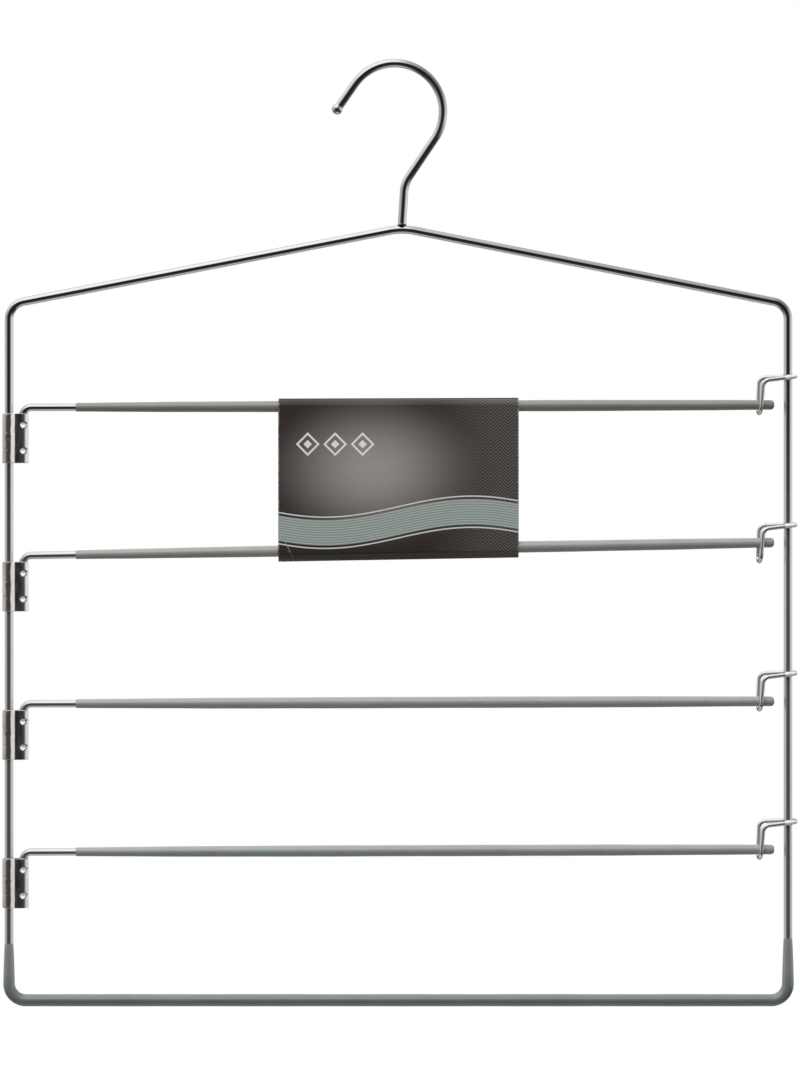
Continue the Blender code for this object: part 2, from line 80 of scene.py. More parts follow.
# Sizes of the bends, as on the solids
SEAT_GAP = 0.0003
TOP_SPACE = 0.0489
SHOULDER_RISE = 0.0362
SHOULDER_CORNER_RADIUS = 0.0085
PEAK_RADIUS = 0.0320
BOTTOM_CORNER_RADIUS = 0.0080
PEAK_SHIFT = 0.0017  # peak to the right of the middle
ARM_BEND_RADIUS = 0.0042
LEG_RECESS = 0.0005

# Hook
HOOK_R = 0.0020
HOOK_RADIUS = 0.0230
HOOK_OFFSET = 0.0035  # crown's centre to the left of the weld
HOOK_SHANK_LEAN = math.radians(3.6)
HOOK_NECK_RADIUS = 0.0160
HOOK_LEAN = math.radians(34.0)  # of the straight part between neck and crown
HOOK_CROWN_END = math.radians(145.0)
HOOK_TIP = 0.0172
HOOK_HEAD_R = 0.0026
HOOK_HEAD_NECK = 0.0004
HOOK_HEAD_DOME = 0.0024  # from the middle of the head to its end
HOOK_FOOT = (  # height above the weld and radius: a small upset, with painted shade where it meets the frame
    (-0.0012, 0.0020),
    (-0.0001, 0.00212),
    (0.0002, 0.00212),
    (0.0005, 0.00204),
    (0.0009, 0.0020),
    (0.0014, 0.0020),
)
WELD_SHADE_TOP = 0.0004  # upper edge of the painted shade at the hook's foot

# Dip coats
COAT_GAP = 0.00015
COAT_LIP_WALL = 0.00008  # over the wire, where the coat runs out on the uprights
COAT_LIP_TAPER = 0.0320  # from there to the full wall
COAT_RIGHT_RISE = 0.0025  # the dip reached higher on the right upright
SLEEVE_START_WALL = 0.0002
SLEEVE_INSET = 0.0005  # start of the visible lip
SLEEVE_SWELL = 0.1300  # over which the wall grows
SLEEVE_TIP_WALL = 0.0004
SLEEVE_TIP_TAPER = 0.1100
SLEEVE_ROUNDING = 0.0018
SLEEVE_LIP = 0.0010  # rounded edge where an arm's coat starts
LIP_ROUNDING = 0.00035  # rounded edge where the bar's coat runs out
COAT_STEP = 0.0035  # rings along a coat
COAT_WAVE = 0.000035  # unevenness of the dipped skin
WAVES = ((0.6, 95.0, 1.0), (0.4, 241.0, 2.3))  # share, radians per metre, phase factor
BAR_PHASE = 0.4
ARM_PHASE = 1.7  # times the tier

# Hinge clips
CLIP_SHEET = 0.0008
KNUCKLE_R = ARM_R + SEAT_GAP + CLIP_SHEET / 2  # mid line of the curl round the arm's leg
CLIP_SLOPE = math.radians(42.0)  # of a leaf where it leaves the upright
CLIP_WAIST = 0.00272  # bottom of the waist from the upright's axis
CLIP_WAIST_RADIUS = 0.0005
CLIP_STEP_LEAN = 0.0003  # step from the waist up to the knuckle's flat
CLIP_STEP_RADIUS = 0.00055
CLIP_SEAM = 0.0008  # between the strip's ends at the knuckle
CLIP_FACET = 0.00022  # points along the strip
CLIP_CORNER_SKIP = 4  # one in four points of a corner is kept
CLIP_ROWS = 80
CLIP_EDGE = 0.00018  # rounding of the cut edges
CLIP_EDGE_ANGLE = math.radians(60.0)
CRIMP_SHARES = (0.28, 0.62)  # of the clip's height: where its lobe is pressed on the upright
CRIMP_HALF_SHARE = 0.030
CRIMP_DEPTH = 0.00012
CLIP_ROLL = 0.00020  # upper edge of the lobe, rolled in
CLIP_ROLL_SHARE = 0.06
DIMPLE_HEIGHTS = (0.26, 0.78)  # of the clip's height
DIMPLE_RADIUS = 0.0017
DIMPLE_DEPTH = 0.0008
DIMPLE_SHIFT = 0.0003  # to the right of the hinge axis
DIMPLE_LEAN = 0.2  # share by which it is steeper above than below
DIMPLE_STRETCH = 1.7  # it runs out further to the right, round the curl
GROOVE_FLAT = 0.4  # share of a groove in a leg at its full depth
STAKE_DEPTH = 0.00018

# Finish of the clips, with painted highlights and painted reflections, and places across them from the
# upright's axis
# painted white highlight along the waist
WAIST_HIGHLIGHT_LEFT = (0.0009, 0.0015)
WAIST_HIGHLIGHT_RIGHT = (0.0030, 0.0027)
DIMPLE_HIGHLIGHT = (0.0015, 0.0010)  # painted white highlight in each dimple, from the dimple's middle
DIMPLE_HIGHLIGHT_DROP = 0.0002  # below it
# white and little metallic: the colour of the painted highlights
PAINTED_HIGHLIGHT_COLOUR = (0.95, 0.95, 0.94, 1.0)
PAINTED_HIGHLIGHT_METAL = 0.12
STRAY_SCALE = 220.0  # wavering of all these places
STRAY_WIDTH = 0.0008
FLANK = (-0.0004, -0.0014)  # painted warm reflection on the lobe's left flank
FLANK_SCALE = 90.0
FLANK_PATCH = (0.35, 0.65, 0.45, 1.0)  # noise from and to, and shares
FLANK_REFLECTION_COLOUR = (0.62, 0.55, 0.50, 1.0)
FLAT_REFLECTION_LEFT = (0.0029, 0.0033)  # streaky painted dark reflection on the knuckle's flat
FLAT_REFLECTION_RIGHT = (0.0066, 0.0060)
FLAT_REFLECTION_STRETCH = (1.0, 1.0, 0.22)
FLAT_REFLECTION_SCALE = 700.0
FLAT_REFLECTION_STREAK = (0.38, 0.62, 1.0, 0.25)
FLAT_REFLECTION_COLOUR = (0.34, 0.34, 0.35, 1.0)
PLATE_LIGHT = (0.88, 0.88, 0.87, 1.0)
PLATE_DARK = (0.78, 0.78, 0.78, 1.0)
PLATE_METAL = 0.95
PLATE_GLOSS = (0.05, 0.11)  # roughness where smooth and where dull
PLATE_GRAIN = 0.22
DENT_SCALE = 300.0
DENT_SHARE = 6.0  # of the dents against the grain

# Stirrups
STIRRUP_R = 0.000995  # just under the solid's, which bounds the model in depth
STIRRUP_REACH = 0.0133  # legs to the left of the right upright
STIRRUP_DROP = 0.0153  # from the run to the bottom of the hairpin
STIRRUP_BEND_RADIUS = 0.0031
# Of each half: side, shift of its leg to the left, rise of its run, lean of its leg and slope of its
# run in degrees, and tail past the upright's surface
STIRRUP_FRONT = (-1.0, 0.0, 0.0, 5.0, 7.0, 0.0021)
STIRRUP_REAR = (1.0, 0.0006, 0.0016, 2.3, 2.8, 0.0026)
PINCH_LENGTH = 0.0017  # cut ends, pinched by the cutter
PINCH_SHARES = (0.0, 0.15, 0.4, 0.7, 1.0, 1.3, 3.5)  # points from a cut end past its weld
PINCH_R = 0.00040
NUGGET = Vector((0.0018, 0.00115, 0.0013))  # half sizes of a weld's bead
NUGGET_SINK = 0.0001  # of its middle under the wire's
NUGGET_FACETS = (16, 10)  # round it and from end to end

# Card
CARD_SHEET = 0.0004
CARD_CREASE_SLACK = 0.0019
CARD_CREASE_RADIUS = 0.0006
CARD_KNEE_RADIUS = 0.0016
CARD_KNEE_DROP = 0.0016
CARD_COLUMNS = 48
CARD_ROW_STEP = 0.0022
CARD_LONG = 10 * CARD_ROW_STEP  # longer stretches of its line are cut into steps
CARD_BULGE = 0.00045
CARD_SWAY = 0.35  # share of the belly that changes along the card
CARD_SWAY_TURN = 5.0
CARD_SWAY_PHASE = 0.6
CARD_FLAP = 0.0210  # glued overlap at the top of the back

# Print and wear of the card, in millimetres from its middle
GLOW_PLACE = (-12.0, 5.0)
GLOW_HALF = (56.0, 40.0)
WEAVE_ROW = 4.0
WEAVE_STRIPE = 0.8
WEAVE_RISE = (8.0, 50.0)
WEAVE_SHARE = 0.45
RIBBON_PLACE = -20.0
RIBBON_SWING = 5.0
RIBBON_TURN = 0.045  # radians per millimetre
RIBBON_EDGE = (6.2, 5.9)
RIBBON_BRUSH = 0.6
RIBBON_LINE = 7.4
LOZENGE_PLACE = (-30.0, 17.0)  # of the middle one
LOZENGE_PITCH = 13.0
LOZENGE_HALF = 5.0
LOZENGE_CORE = (2.2, 1.8)
RUBBED_RIM = (0.9, 0.05)
RUBBED_CREASE = 0.55  # distance from the crease counts less than from the sides
FOLD_PLACE = (5.0, 6.0)  # creased corner, from the lower left
FOLD_SLOPE = 2.2
FOLD_EDGE = (0.9, 0.1)
FOLD_REACH = (6.0, 3.0)
GRIT_SCALE = 900.0  # of the scuffs
GRIT_RUBBED = (0.42, 0.62)
GRIT_FOLD = (0.4, 0.6)
DUST_SPAN = (0.4, 0.75)
PAPER_SCALE = 1500.0
PAPER_SPAN = (0.3, 0.7)
PAPER_STRENGTH = 0.10
PAPER_DEPTH = 0.00006
FIBRE_SCALE = 1800.0  # of the bare side
FIBRE_STRENGTH = 0.25
FIBRE_DEPTH = 0.00008

# Plated finish, with scales of its unevenness per metre
CLOUD_SCALE = 140.0
HAZE_SCALE = 900.0
HAZE_SPAN = (0.35, 0.75)
GRAIN_SCALE = 2600.0
GRAIN_DEPTH = 0.00002
CHROME_RIM = (0.48, 0.48, 0.48, 1.0)
THIN_RIM = (0.24, 0.24, 0.24, 1.0)
LOW_METAL = 0.91  # of the wires low down, where they are a little hazier
LOW_METAL_HEIGHTS = (-0.26, -0.14)

# Finish of the dip coats
MOTTLE_SCALE = 55.0
MOTTLE_SPAN = (0.3, 0.7)
SPECK_SCALE = 2200.0
SPECK_SHARE = 0.3
PEEL_SCALE = 620.0
PEEL_SPECK_SHARE = 0.35
PEEL_STRENGTH = 0.05
PEEL_DEPTH = 0.00012
BAR_GLOSS = (0.20, 0.26)  # roughness where smooth and where dull
ARM_GLOSS = (0.26, 0.33)
ARM_COLOURS = (  # pale and deep tone of each arm, from the top
    ((127, 128, 123), (121, 122, 117)),
    ((149, 149, 145), (142, 142, 138)),
    ((148, 154, 152), (141, 147, 144)),
    ((145, 153, 152), (138, 145, 144)),
)
PAINTED_LIGHT_CLIMB = (0.003, 0.016)  # over the bar, where its coat turns thinner and its colour paler as painted light

# Facets
WIRE_SIDES = 32
THIN_SIDES = 20
BEND_STEP = math.radians(3.0)
HEAD_STEP = math.radians(8.0)
ROUND_STEPS = 6  # of a coat's rounded edge
SHARP_ANGLE = math.radians(38.0)
TURN_FIT = 0.998  # of the half width, so that two bends of one turn just miss


def srgb(red, green, blue):
    """Linear colour from 0 to 255 values of a picture."""
    channels = []
    for value in (red, green, blue):
        share = value / 255
        channels.append(share / 12.92 if share <= 0.04045 else ((share + 0.055) / 1.055) ** 2.4)
    return (*channels, 1.0)


class Nodes:
    """Short calls for wiring one node tree."""

    def __init__(self, tree):
        self.nodes = tree.nodes
        self.links = tree.links
        self.shader = tree.nodes.get("Principled BSDF")

    def put(self, value, socket):
        """Link a socket, or set a plain value on it."""
        if isinstance(value, bpy.types.NodeSocket):
            self.links.new(value, socket)
        else:
            socket.default_value = value

    def feed(self, name, value):
        """Link or set one input of the material's main shader."""
        self.put(value, self.shader.inputs[name])

    def new(self, kind):
        return self.nodes.new("ShaderNode" + kind)

    def math(self, operation, *values, clamp=False):
        node = self.new("Math")
        node.operation = operation
        node.use_clamp = clamp
        for value, socket in zip(values, node.inputs):
            self.put(value, socket)
        return node.outputs["Value"]

    plus = partialmethod(math, "ADD")
    minus = partialmethod(math, "SUBTRACT")
    times = partialmethod(math, "MULTIPLY")
    most = partialmethod(math, "MAXIMUM")
    absolute = partialmethod(math, "ABSOLUTE")

    def stretch(self, vector, factors):
        """A vector with each of its parts multiplied."""
        node = self.new("VectorMath")
        node.operation = "MULTIPLY"
        self.put(vector, node.inputs[0])
        self.put(factors, node.inputs[1])
        return node.outputs["Vector"]

    def distance(self, first, second):
        """Length of a step that is given by its two parts."""
        squares = [self.times(part, part) for part in (first, second)]
        return self.math("SQRT", self.plus(*squares))

    def band(self, value, rise, fall):
        """Share that rises between two marks and falls between two others."""
        return self.times(self.fade(value, *rise), self.fade(value, *fall))

    def mix(self, factor, first, second):
        node = self.new("Mix")
        node.data_type = "RGBA"
        self.put(factor, node.inputs[0])
        self.put(first, node.inputs[6])
        self.put(second, node.inputs[7])
        return node.outputs[2]

    def fade(self, value, low, high, start=0.0, end=1.0):
        """Smooth step of a value between two marks."""
        node = self.new("MapRange")
        node.interpolation_type = "SMOOTHSTEP"
        for given, socket in zip((value, low, high, start, end), node.inputs):
            self.put(given, socket)
        return node.outputs["Result"]

    def noise(self, vector, scale, detail=2.0, roughness=0.5):
        node = self.new("TexNoise")
        self.put(vector, node.inputs["Vector"])
        for name, value in (("Scale", scale), ("Detail", detail), ("Roughness", roughness)):
            node.inputs[name].default_value = value
        return node.outputs["Fac"]

    def place(self):
        """Where a point of the surface lies, in the object's own metres."""
        return self.new("TexCoord").outputs["Object"]

    def parts(self, vector):
        node = self.new("SeparateXYZ")
        self.put(vector, node.inputs[0])
        return node.outputs

    def bump(self, height, strength, distance):
        """Give the main shader a fine relief."""
        node = self.new("Bump")
        node.inputs["Strength"].default_value = strength
        node.inputs["Distance"].default_value = distance
        self.put(height, node.inputs["Height"])
        self.feed("Normal", node.outputs["Normal"])

    def mix_shaders(self, factor, first, second, output):
        """Mix two shaders into the tree's output."""
        node = self.new("MixShader")
        for value, socket in zip((factor, first, second), node.inputs):
            self.put(value, socket)
        self.put(node.outputs["Shader"], self.new(output).inputs["Surface"])


def new_material(name):
    """A material, its node helper and the place of its points."""
    material = bpy.data.materials.new(name)
    material.use_nodes = True
    nodes = Nodes(material.node_tree)
    return material, nodes, nodes.place()


def set_plate_gloss(nodes, place, rim, gloss):
    """Gloss that varies in patches, and the tint of a plated surface at grazing angles."""
    haze = nodes.noise(place, HAZE_SCALE, detail=5.0, roughness=0.6)
    nodes.feed("Roughness", nodes.fade(haze, *HAZE_SPAN, *gloss))
    nodes.feed("Specular Tint", rim)


def chrome_material(name, light, dark, rim, gloss, grain, metal=1.0, low_metal=None):
    """Bright plate: uneven in tone and gloss, with a fine grain, and hazier low down where asked."""
    material, nodes, place = new_material(name)
    cloud = nodes.noise(place, CLOUD_SCALE, detail=4.0)
    nodes.feed("Base Color", nodes.mix(cloud, dark, light))
    if low_metal is None:
        nodes.feed("Metallic", metal)
    else:
        _, _, z = nodes.parts(place)
        nodes.feed("Metallic", nodes.fade(z, *LOW_METAL_HEIGHTS, low_metal, metal))
    set_plate_gloss(nodes, place, rim, gloss)
    nodes.bump(nodes.noise(place, GRAIN_SCALE), grain, GRAIN_DEPTH)
    return material


def clip_material():
    """Plated sheet: painted white highlights in the waist and the dimples, a painted warm reflection on
    the lobe's flank and a painted dark reflection on the knuckle's flat.
    """
    material, nodes, place = new_material("sheet_chrome")
    x, y, z = nodes.parts(place)
    stray = nodes.times(nodes.minus(nodes.noise(place, STRAY_SCALE), 0.5), STRAY_WIDTH)
    across = nodes.plus(nodes.minus(x, LEFT_X), stray)

    # Painted white highlights in the waist and the dimples, on the front alone; the level counts from
    # the foot of each clip
    painted_highlight = nodes.band(across, WAIST_HIGHLIGHT_LEFT, WAIST_HIGHLIGHT_RIGHT)
    pitch = pivots[0].z - pivots[1].z
    level = nodes.math("DIVIDE", nodes.minus(z, pivots[-1].z + CLIP_BOTTOM), pitch)
    level = nodes.times(nodes.math("FRACT", level), pitch)
    beside = nodes.minus(across, PIVOT_OFFSET + DIMPLE_SHIFT)
    for share in DIMPLE_HEIGHTS:
        over = nodes.minus(level, (CLIP_TOP - CLIP_BOTTOM) * share - DIMPLE_HIGHLIGHT_DROP)
        away = nodes.distance(beside, over)
        painted_highlight = nodes.most(painted_highlight, nodes.fade(away, *DIMPLE_HIGHLIGHT))
    painted_highlight = nodes.times(painted_highlight, nodes.math("LESS_THAN", y, 0.0))

    plated = nodes.mix(nodes.noise(place, CLOUD_SCALE, detail=4.0), PLATE_DARK, PLATE_LIGHT)
    # painted warm reflection on the lobe's left flank, in patches
    patch = nodes.fade(nodes.noise(place, FLANK_SCALE), *FLANK_PATCH)
    flank_reflection = nodes.times(nodes.fade(across, *FLANK), patch)
    plated = nodes.mix(flank_reflection, plated, FLANK_REFLECTION_COLOUR)
    # painted dark reflection in streaks over the knuckle's flat
    streak = nodes.noise(nodes.stretch(place, FLAT_REFLECTION_STRETCH), FLAT_REFLECTION_SCALE)
    streak = nodes.fade(streak, *FLAT_REFLECTION_STREAK)
    flat_reflection = nodes.times(nodes.band(across, FLAT_REFLECTION_LEFT, FLAT_REFLECTION_RIGHT), streak)
    plated = nodes.mix(flat_reflection, plated, FLAT_REFLECTION_COLOUR)
    # the painted highlights take the place of the plate's colour and most of its metal
    nodes.feed("Base Color", nodes.mix(painted_highlight, plated, PAINTED_HIGHLIGHT_COLOUR))
    nodes.feed("Metallic", nodes.fade(painted_highlight, 0.0, 1.0, PLATE_METAL, PAINTED_HIGHLIGHT_METAL))
    set_plate_gloss(nodes, place, CHROME_RIM, PLATE_GLOSS)
    fine = nodes.noise(place, GRAIN_SCALE)
    dents = nodes.times(nodes.noise(place, DENT_SCALE, detail=1.0), DENT_SHARE)
    nodes.bump(nodes.plus(fine, dents), PLATE_GRAIN, GRAIN_DEPTH)
    return material


def pvc_material(name, pale, deep, gloss, thin=None):
    """Satin dip coat: faint mottling, orange peel and, where asked, a paler colour above the bar as
    painted light.
    """
    material, nodes, place = new_material(name)
    mottle = nodes.noise(place, MOTTLE_SCALE, detail=3.0)
    speck = nodes.noise(place, SPECK_SCALE)
    tone = nodes.plus(nodes.times(mottle, 1 - SPECK_SHARE), nodes.times(speck, SPECK_SHARE))
    colour = nodes.mix(nodes.fade(tone, *MOTTLE_SPAN), deep, pale)
    # painted light: the coat turns paler up the uprights above the bar
    if thin is not None:
        _, _, z = nodes.parts(place)
        painted_light_climb = nodes.fade(z, BAR_Z + PAINTED_LIGHT_CLIMB[0], BAR_Z + PAINTED_LIGHT_CLIMB[1])
        colour = nodes.mix(painted_light_climb, colour, thin)
    nodes.feed("Base Color", colour)
    nodes.feed("Roughness", nodes.fade(mottle, *MOTTLE_SPAN, *gloss))
    nodes.feed("Specular IOR Level", 1.0)
    nodes.feed("IOR", 1.6)
    peel = nodes.plus(nodes.noise(place, PEEL_SCALE), nodes.times(speck, PEEL_SPECK_SHARE))
    nodes.bump(peel, PEEL_STRENGTH, PEEL_DEPTH)
    return material


def card_place(nodes, place):
    """Places across and up from the card's middle, in millimetres."""
    x, _, z = nodes.parts(place)
    across = nodes.times(nodes.minus(x, CARD_MIDDLE.x), 1000.0)
    up = nodes.times(nodes.minus(z, CARD_MIDDLE.z), 1000.0)
    return across, up


def card_wear(nodes, across, up, place):
    """Rubbed rims, creased corner and fine scuffs of the card, from 0 to 1."""
    half_width = (card_high.x - card_low.x) / 2 * 1000
    half_height = (card_high.z - card_low.z) / 2 * 1000
    grit = nodes.noise(place, GRIT_SCALE, detail=4.0, roughness=0.65)
    side = nodes.minus(half_width, nodes.absolute(across))
    crease = nodes.plus(half_height, up)
    rim = nodes.math("MINIMUM", side, nodes.times(crease, RUBBED_CREASE))
    rubbed = nodes.times(nodes.fade(rim, *RUBBED_RIM), nodes.fade(grit, *GRIT_RUBBED))
    corner_x = nodes.plus(across, half_width - FOLD_PLACE[0])
    corner_z = nodes.plus(up, half_height - FOLD_PLACE[1])
    slant = nodes.plus(corner_z, nodes.times(corner_x, FOLD_SLOPE))
    fold = nodes.fade(nodes.absolute(slant), *FOLD_EDGE)
    reach = nodes.fade(nodes.absolute(corner_z), *FOLD_REACH)
    fold = nodes.times(nodes.times(fold, reach), nodes.fade(grit, *GRIT_FOLD))
    return nodes.most(rubbed, fold, clamp=True)


def finish_print(nodes, place, colour, dust, dust_share, gloss):
    """Paper grain and wear over a printed colour."""
    grain = nodes.noise(place, PAPER_SCALE, detail=4.0, roughness=0.6)
    colour = nodes.mix(nodes.fade(grain, *DUST_SPAN, 0.0, dust_share), colour, dust)
    wear = card_wear(nodes, *card_place(nodes, place), place)
    nodes.feed("Base Color", nodes.mix(wear, colour, srgb(150, 144, 136)))
    nodes.feed("Roughness", nodes.fade(grain, *PAPER_SPAN, *gloss))
    nodes.bump(grain, PAPER_STRENGTH, PAPER_DEPTH)


def card_front_material():
    """Dark printed card: a soft glow, a brushed ribbon, a herringbone panel and three lozenges."""
    material, nodes, place = new_material("card_front")
    across, up = card_place(nodes, place)

    away = [nodes.math("DIVIDE", nodes.minus(part, centre), half)
            for part, centre, half in zip((across, up), GLOW_PLACE, GLOW_HALF)]
    glow = nodes.fade(nodes.distance(*away), 1.0, 0.0)
    colour = nodes.mix(glow, srgb(46, 40, 38), srgb(150, 147, 144))

    # Herringbone: stripes that slant one way and then the other, fading in towards the right
    slanted = nodes.plus(up, nodes.math("PINGPONG", across, WEAVE_ROW))
    stripe = nodes.fade(nodes.math("PINGPONG", slanted, WEAVE_STRIPE), 0.32, 0.5)
    panel = nodes.fade(across, *WEAVE_RISE, 0.0, WEAVE_SHARE)
    colour = nodes.mix(nodes.times(stripe, panel), colour, srgb(132, 130, 126))

    # Ribbon of brushed silver along the lower third, with a pale line on each side
    swing = nodes.math("SINE", nodes.times(across, RIBBON_TURN))
    middle = nodes.plus(nodes.times(swing, RIBBON_SWING), RIBBON_PLACE)
    over = nodes.minus(up, middle)
    off = nodes.absolute(over)
    brushed = nodes.fade(nodes.math("PINGPONG", over, RIBBON_BRUSH), 0.1, 0.55)
    silver = nodes.mix(brushed, srgb(128, 140, 136), srgb(172, 182, 178))
    colour = nodes.mix(nodes.fade(off, *RIBBON_EDGE), colour, silver)
    line = nodes.fade(nodes.absolute(nodes.minus(off, RIBBON_LINE)), 0.38, 0.22)
    colour = nodes.mix(line, colour, srgb(214, 212, 208))

    # Three lozenges in outline at the upper left
    beside = nodes.absolute(nodes.minus(across, LOZENGE_PLACE[0]))
    outer = nodes.math("GREATER_THAN", beside, LOZENGE_PITCH / 2)
    step = nodes.minus(beside, nodes.times(LOZENGE_PITCH, outer))
    height = nodes.absolute(nodes.minus(up, LOZENGE_PLACE[1]))
    lozenge = nodes.plus(nodes.absolute(step), height)
    edge = nodes.absolute(nodes.minus(lozenge, LOZENGE_HALF))
    mark = nodes.most(nodes.fade(edge, 0.75, 0.5), nodes.fade(lozenge, *LOZENGE_CORE))
    mark = nodes.times(mark, nodes.math("LESS_THAN", beside, LOZENGE_PITCH * 1.5))
    colour = nodes.mix(mark, colour, srgb(226, 224, 220))

    finish_print(nodes, place, colour, srgb(90, 86, 82), 0.10, (0.36, 0.50))
    return material


def card_back_material():
    """Plain dark back of the print, a little paler in the middle."""
    material, nodes, place = new_material("card_back")
    across, _ = card_place(nodes, place)
    glow = nodes.fade(nodes.absolute(across), 70.0, 0.0)
    colour = nodes.mix(glow, srgb(42, 36, 33), srgb(66, 60, 56))
    finish_print(nodes, place, colour, srgb(96, 92, 88), 0.15, (0.40, 0.55))
    return material


def paper_material():
    """Unprinted inside and cut edges of the card."""
    material, nodes, place = new_material("card_paper")
    fibre = nodes.noise(place, FIBRE_SCALE, detail=5.0, roughness=0.7)
    colour = nodes.mix(nodes.fade(fibre, *PAPER_SPAN), srgb(168, 162, 152), srgb(206, 201, 192))
    nodes.feed("Base Color", colour)
    nodes.feed("Roughness", 0.85)
    nodes.bump(fibre, FIBRE_STRENGTH, FIBRE_DEPTH)
    return material


def corner_centre(before, corner, after, radius):
    """Centre of the arc that rounds a corner, and the angle that the arc turns through."""
    to_before = (before - corner).normalized()
    to_after = (after - corner).normalized()
    turn = math.pi - to_before.angle(to_after)
    inward = (to_before + to_after).normalized()
    return corner + inward * (radius / math.cos(turn / 2)), turn


def rounded_corner(before, corner, after, radius):
    """Arc that rounds one corner of a bent wire's centre line."""
    centre, turn = corner_centre(before, corner, after, radius)
    to_before = (before - corner).normalized()
    start_arm = (corner + to_before * (radius * math.tan(turn / 2)) - centre).normalized()
    count = 2 * max(1, math.ceil(turn / (2 * BEND_STEP)))
    points = []
    for i in range(count + 1):
        angle = turn * i / count
        points.append(centre + (start_arm * math.cos(angle) - to_before * math.sin(angle)) * radius)
    return points


def bent_wire(corners, radii):
    """Centre line of a bent wire: a corner has its bend radius, and a plain point has None."""
    count = len(corners)
    points = []
    for i, (corner, radius) in enumerate(zip(corners, radii)):
        if radius is None:
            points.append(corner)
        else:
            points.extend(rounded_corner(corners[i - 1], corner, corners[(i + 1) % count], radius))
    return points


def xz(x, z):
    """A point or a way in the plane of the frame."""
    return Vector((x, 0.0, z))


def arc_xz(centre, radius, start, end):
    """Points on an arc in the XZ plane."""
    count = max(1, math.ceil(abs(end - start) / BEND_STEP))
    points = []
    for i in range(count + 1):
        angle = start + (end - start) * i / count
        points.append(centre + radius * xz(math.cos(angle), math.sin(angle)))
    return points


def ease(share):
    """Smooth step from 0 to 1."""
    share = min(1.0, max(0.0, share))
    return share * share * (3 - 2 * share)


def stitch(bm, row_a, row_b, spans):
    """Faces between two rows of points."""
    faces = []
    for k in range(spans):
        n = (k + 1) % len(row_a)
        faces.append(bm.faces.new((row_a[k], row_a[n], row_b[n], row_b[k])))
    return faces


def sweep(path, radii, sides, closed=False):
    """Round body along a centre line, with closed ends unless it is a loop."""
    bm = bmesh.new()
    last = len(path) - 1
    rings = []
    normal = Vector((0.0, 1.0, 0.0))
    for i, point in enumerate(path):
        ahead = path[(i + 1) % len(path)] - point if i < last or closed else Vector()
        behind = point - path[i - 1] if i > 0 or closed else Vector()
        tangent = (ahead.normalized() + behind.normalized()).normalized()
        normal = (normal - tangent * normal.dot(tangent)).normalized()
        side = tangent.cross(normal)
        ring = []
        for k in range(sides):
            angle = 2 * math.pi * k / sides
            offset = normal * math.cos(angle) + side * math.sin(angle)
            ring.append(bm.verts.new(point + offset * radii[i]))
        rings.append(ring)
    pairs = list(zip(rings, rings[1:]))
    if closed:
        pairs.append((rings[-1], rings[0]))
    else:
        bm.faces.new(rings[0])
        bm.faces.new(rings[-1])
    for ring_a, ring_b in pairs:
        stitch(bm, ring_a, ring_b, sides)
    return bm


def sheet_body(rows, normals, thickness, closed, offsets=None):
    """Sheet on both sides of a grid of mid-surface points; returns the mesh and its outer faces."""
    bm = bmesh.new()
    skins = []
    for sign in (0.5, -0.5):
        skin = []
        for row, row_normals in zip(rows, normals):
            lifts = offsets or [0.0] * len(row)
            verts = []
            for point, normal, lift in zip(row, row_normals, lifts):
                shift = sign * thickness + (lift if sign > 0 else 0.0)
                verts.append(bm.verts.new(point + normal * shift))
            skin.append(verts)
        skins.append(skin)
    outer, inner = skins
    columns = len(rows[0])
    spans = columns if closed else columns - 1
    outer_faces = []
    for row_a, row_b in zip(outer, outer[1:]):
        outer_faces += stitch(bm, row_a, row_b, spans)
    for row_a, row_b in zip(inner, inner[1:]):
        stitch(bm, row_a, row_b, spans)
    for edge in (0, -1):
        stitch(bm, outer[edge], inner[edge], spans)
    if not closed:
        for column in (0, -1):
            ends = [[row[column] for row in skin] for skin in skins]
            stitch(bm, *ends, len(rows) - 1)
    return bm, outer_faces


def add_object(name, data):
    """A new object in the scene."""
    made = bpy.data.objects.new(name, data)
    bpy.context.scene.collection.objects.link(made)
    return made


def finish_piece(name, bm, materials, body, slot, *nodes):
    """Turn a mesh into a piece that rides on its body in place of the CAD nodes."""
    bmesh.ops.recalc_face_normals(bm, faces=bm.faces)
    mesh = bpy.data.meshes.new(name)
    bm.to_mesh(mesh)
    bm.free()
    mesh.shade_smooth()
    mesh.set_sharp_from_angle(angle=SHARP_ANGLE)
    for material in materials:
        mesh.materials.append(material)
    piece = add_object(name, mesh)
    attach(piece, body)
    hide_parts(*nodes)
    return piece


def frame_loop():
    """Closed loop of the frame's wire."""
    corner_z = pivots[0].z + TOP_SPACE
    corners = [
        xz(LEFT_X, BAR_Z),
        xz(RIGHT_X, BAR_Z),
        xz(RIGHT_X, corner_z),
        xz(MIDDLE_X + PEAK_SHIFT, corner_z + SHOULDER_RISE),
        xz(LEFT_X, corner_z),
    ]
    shoulders = [SHOULDER_CORNER_RADIUS, PEAK_RADIUS, SHOULDER_CORNER_RADIUS]
    path = bent_wire(corners, [BOTTOM_CORNER_RADIUS] * 2 + shoulders)
    return sweep(path, [FRAME_R] * len(path), WIRE_SIDES, closed=True)


def wave(distance, phase):
    """Slow unevenness of a dipped skin along its length."""
    swings = [share * math.sin(distance * rate + lead * phase) for share, rate, lead in WAVES]
    return COAT_WAVE * (sum(swings) - 1.0)


def even_points(path, step):
    """The points of a line, with more added on its long straight stretches."""
    points = [path[0]]
    for start, end in zip(path, path[1:]):
        count = max(1, round((end - start).length / step))
        for i in range(1, count + 1):
            points.append(start.lerp(end, i / count))
    return points


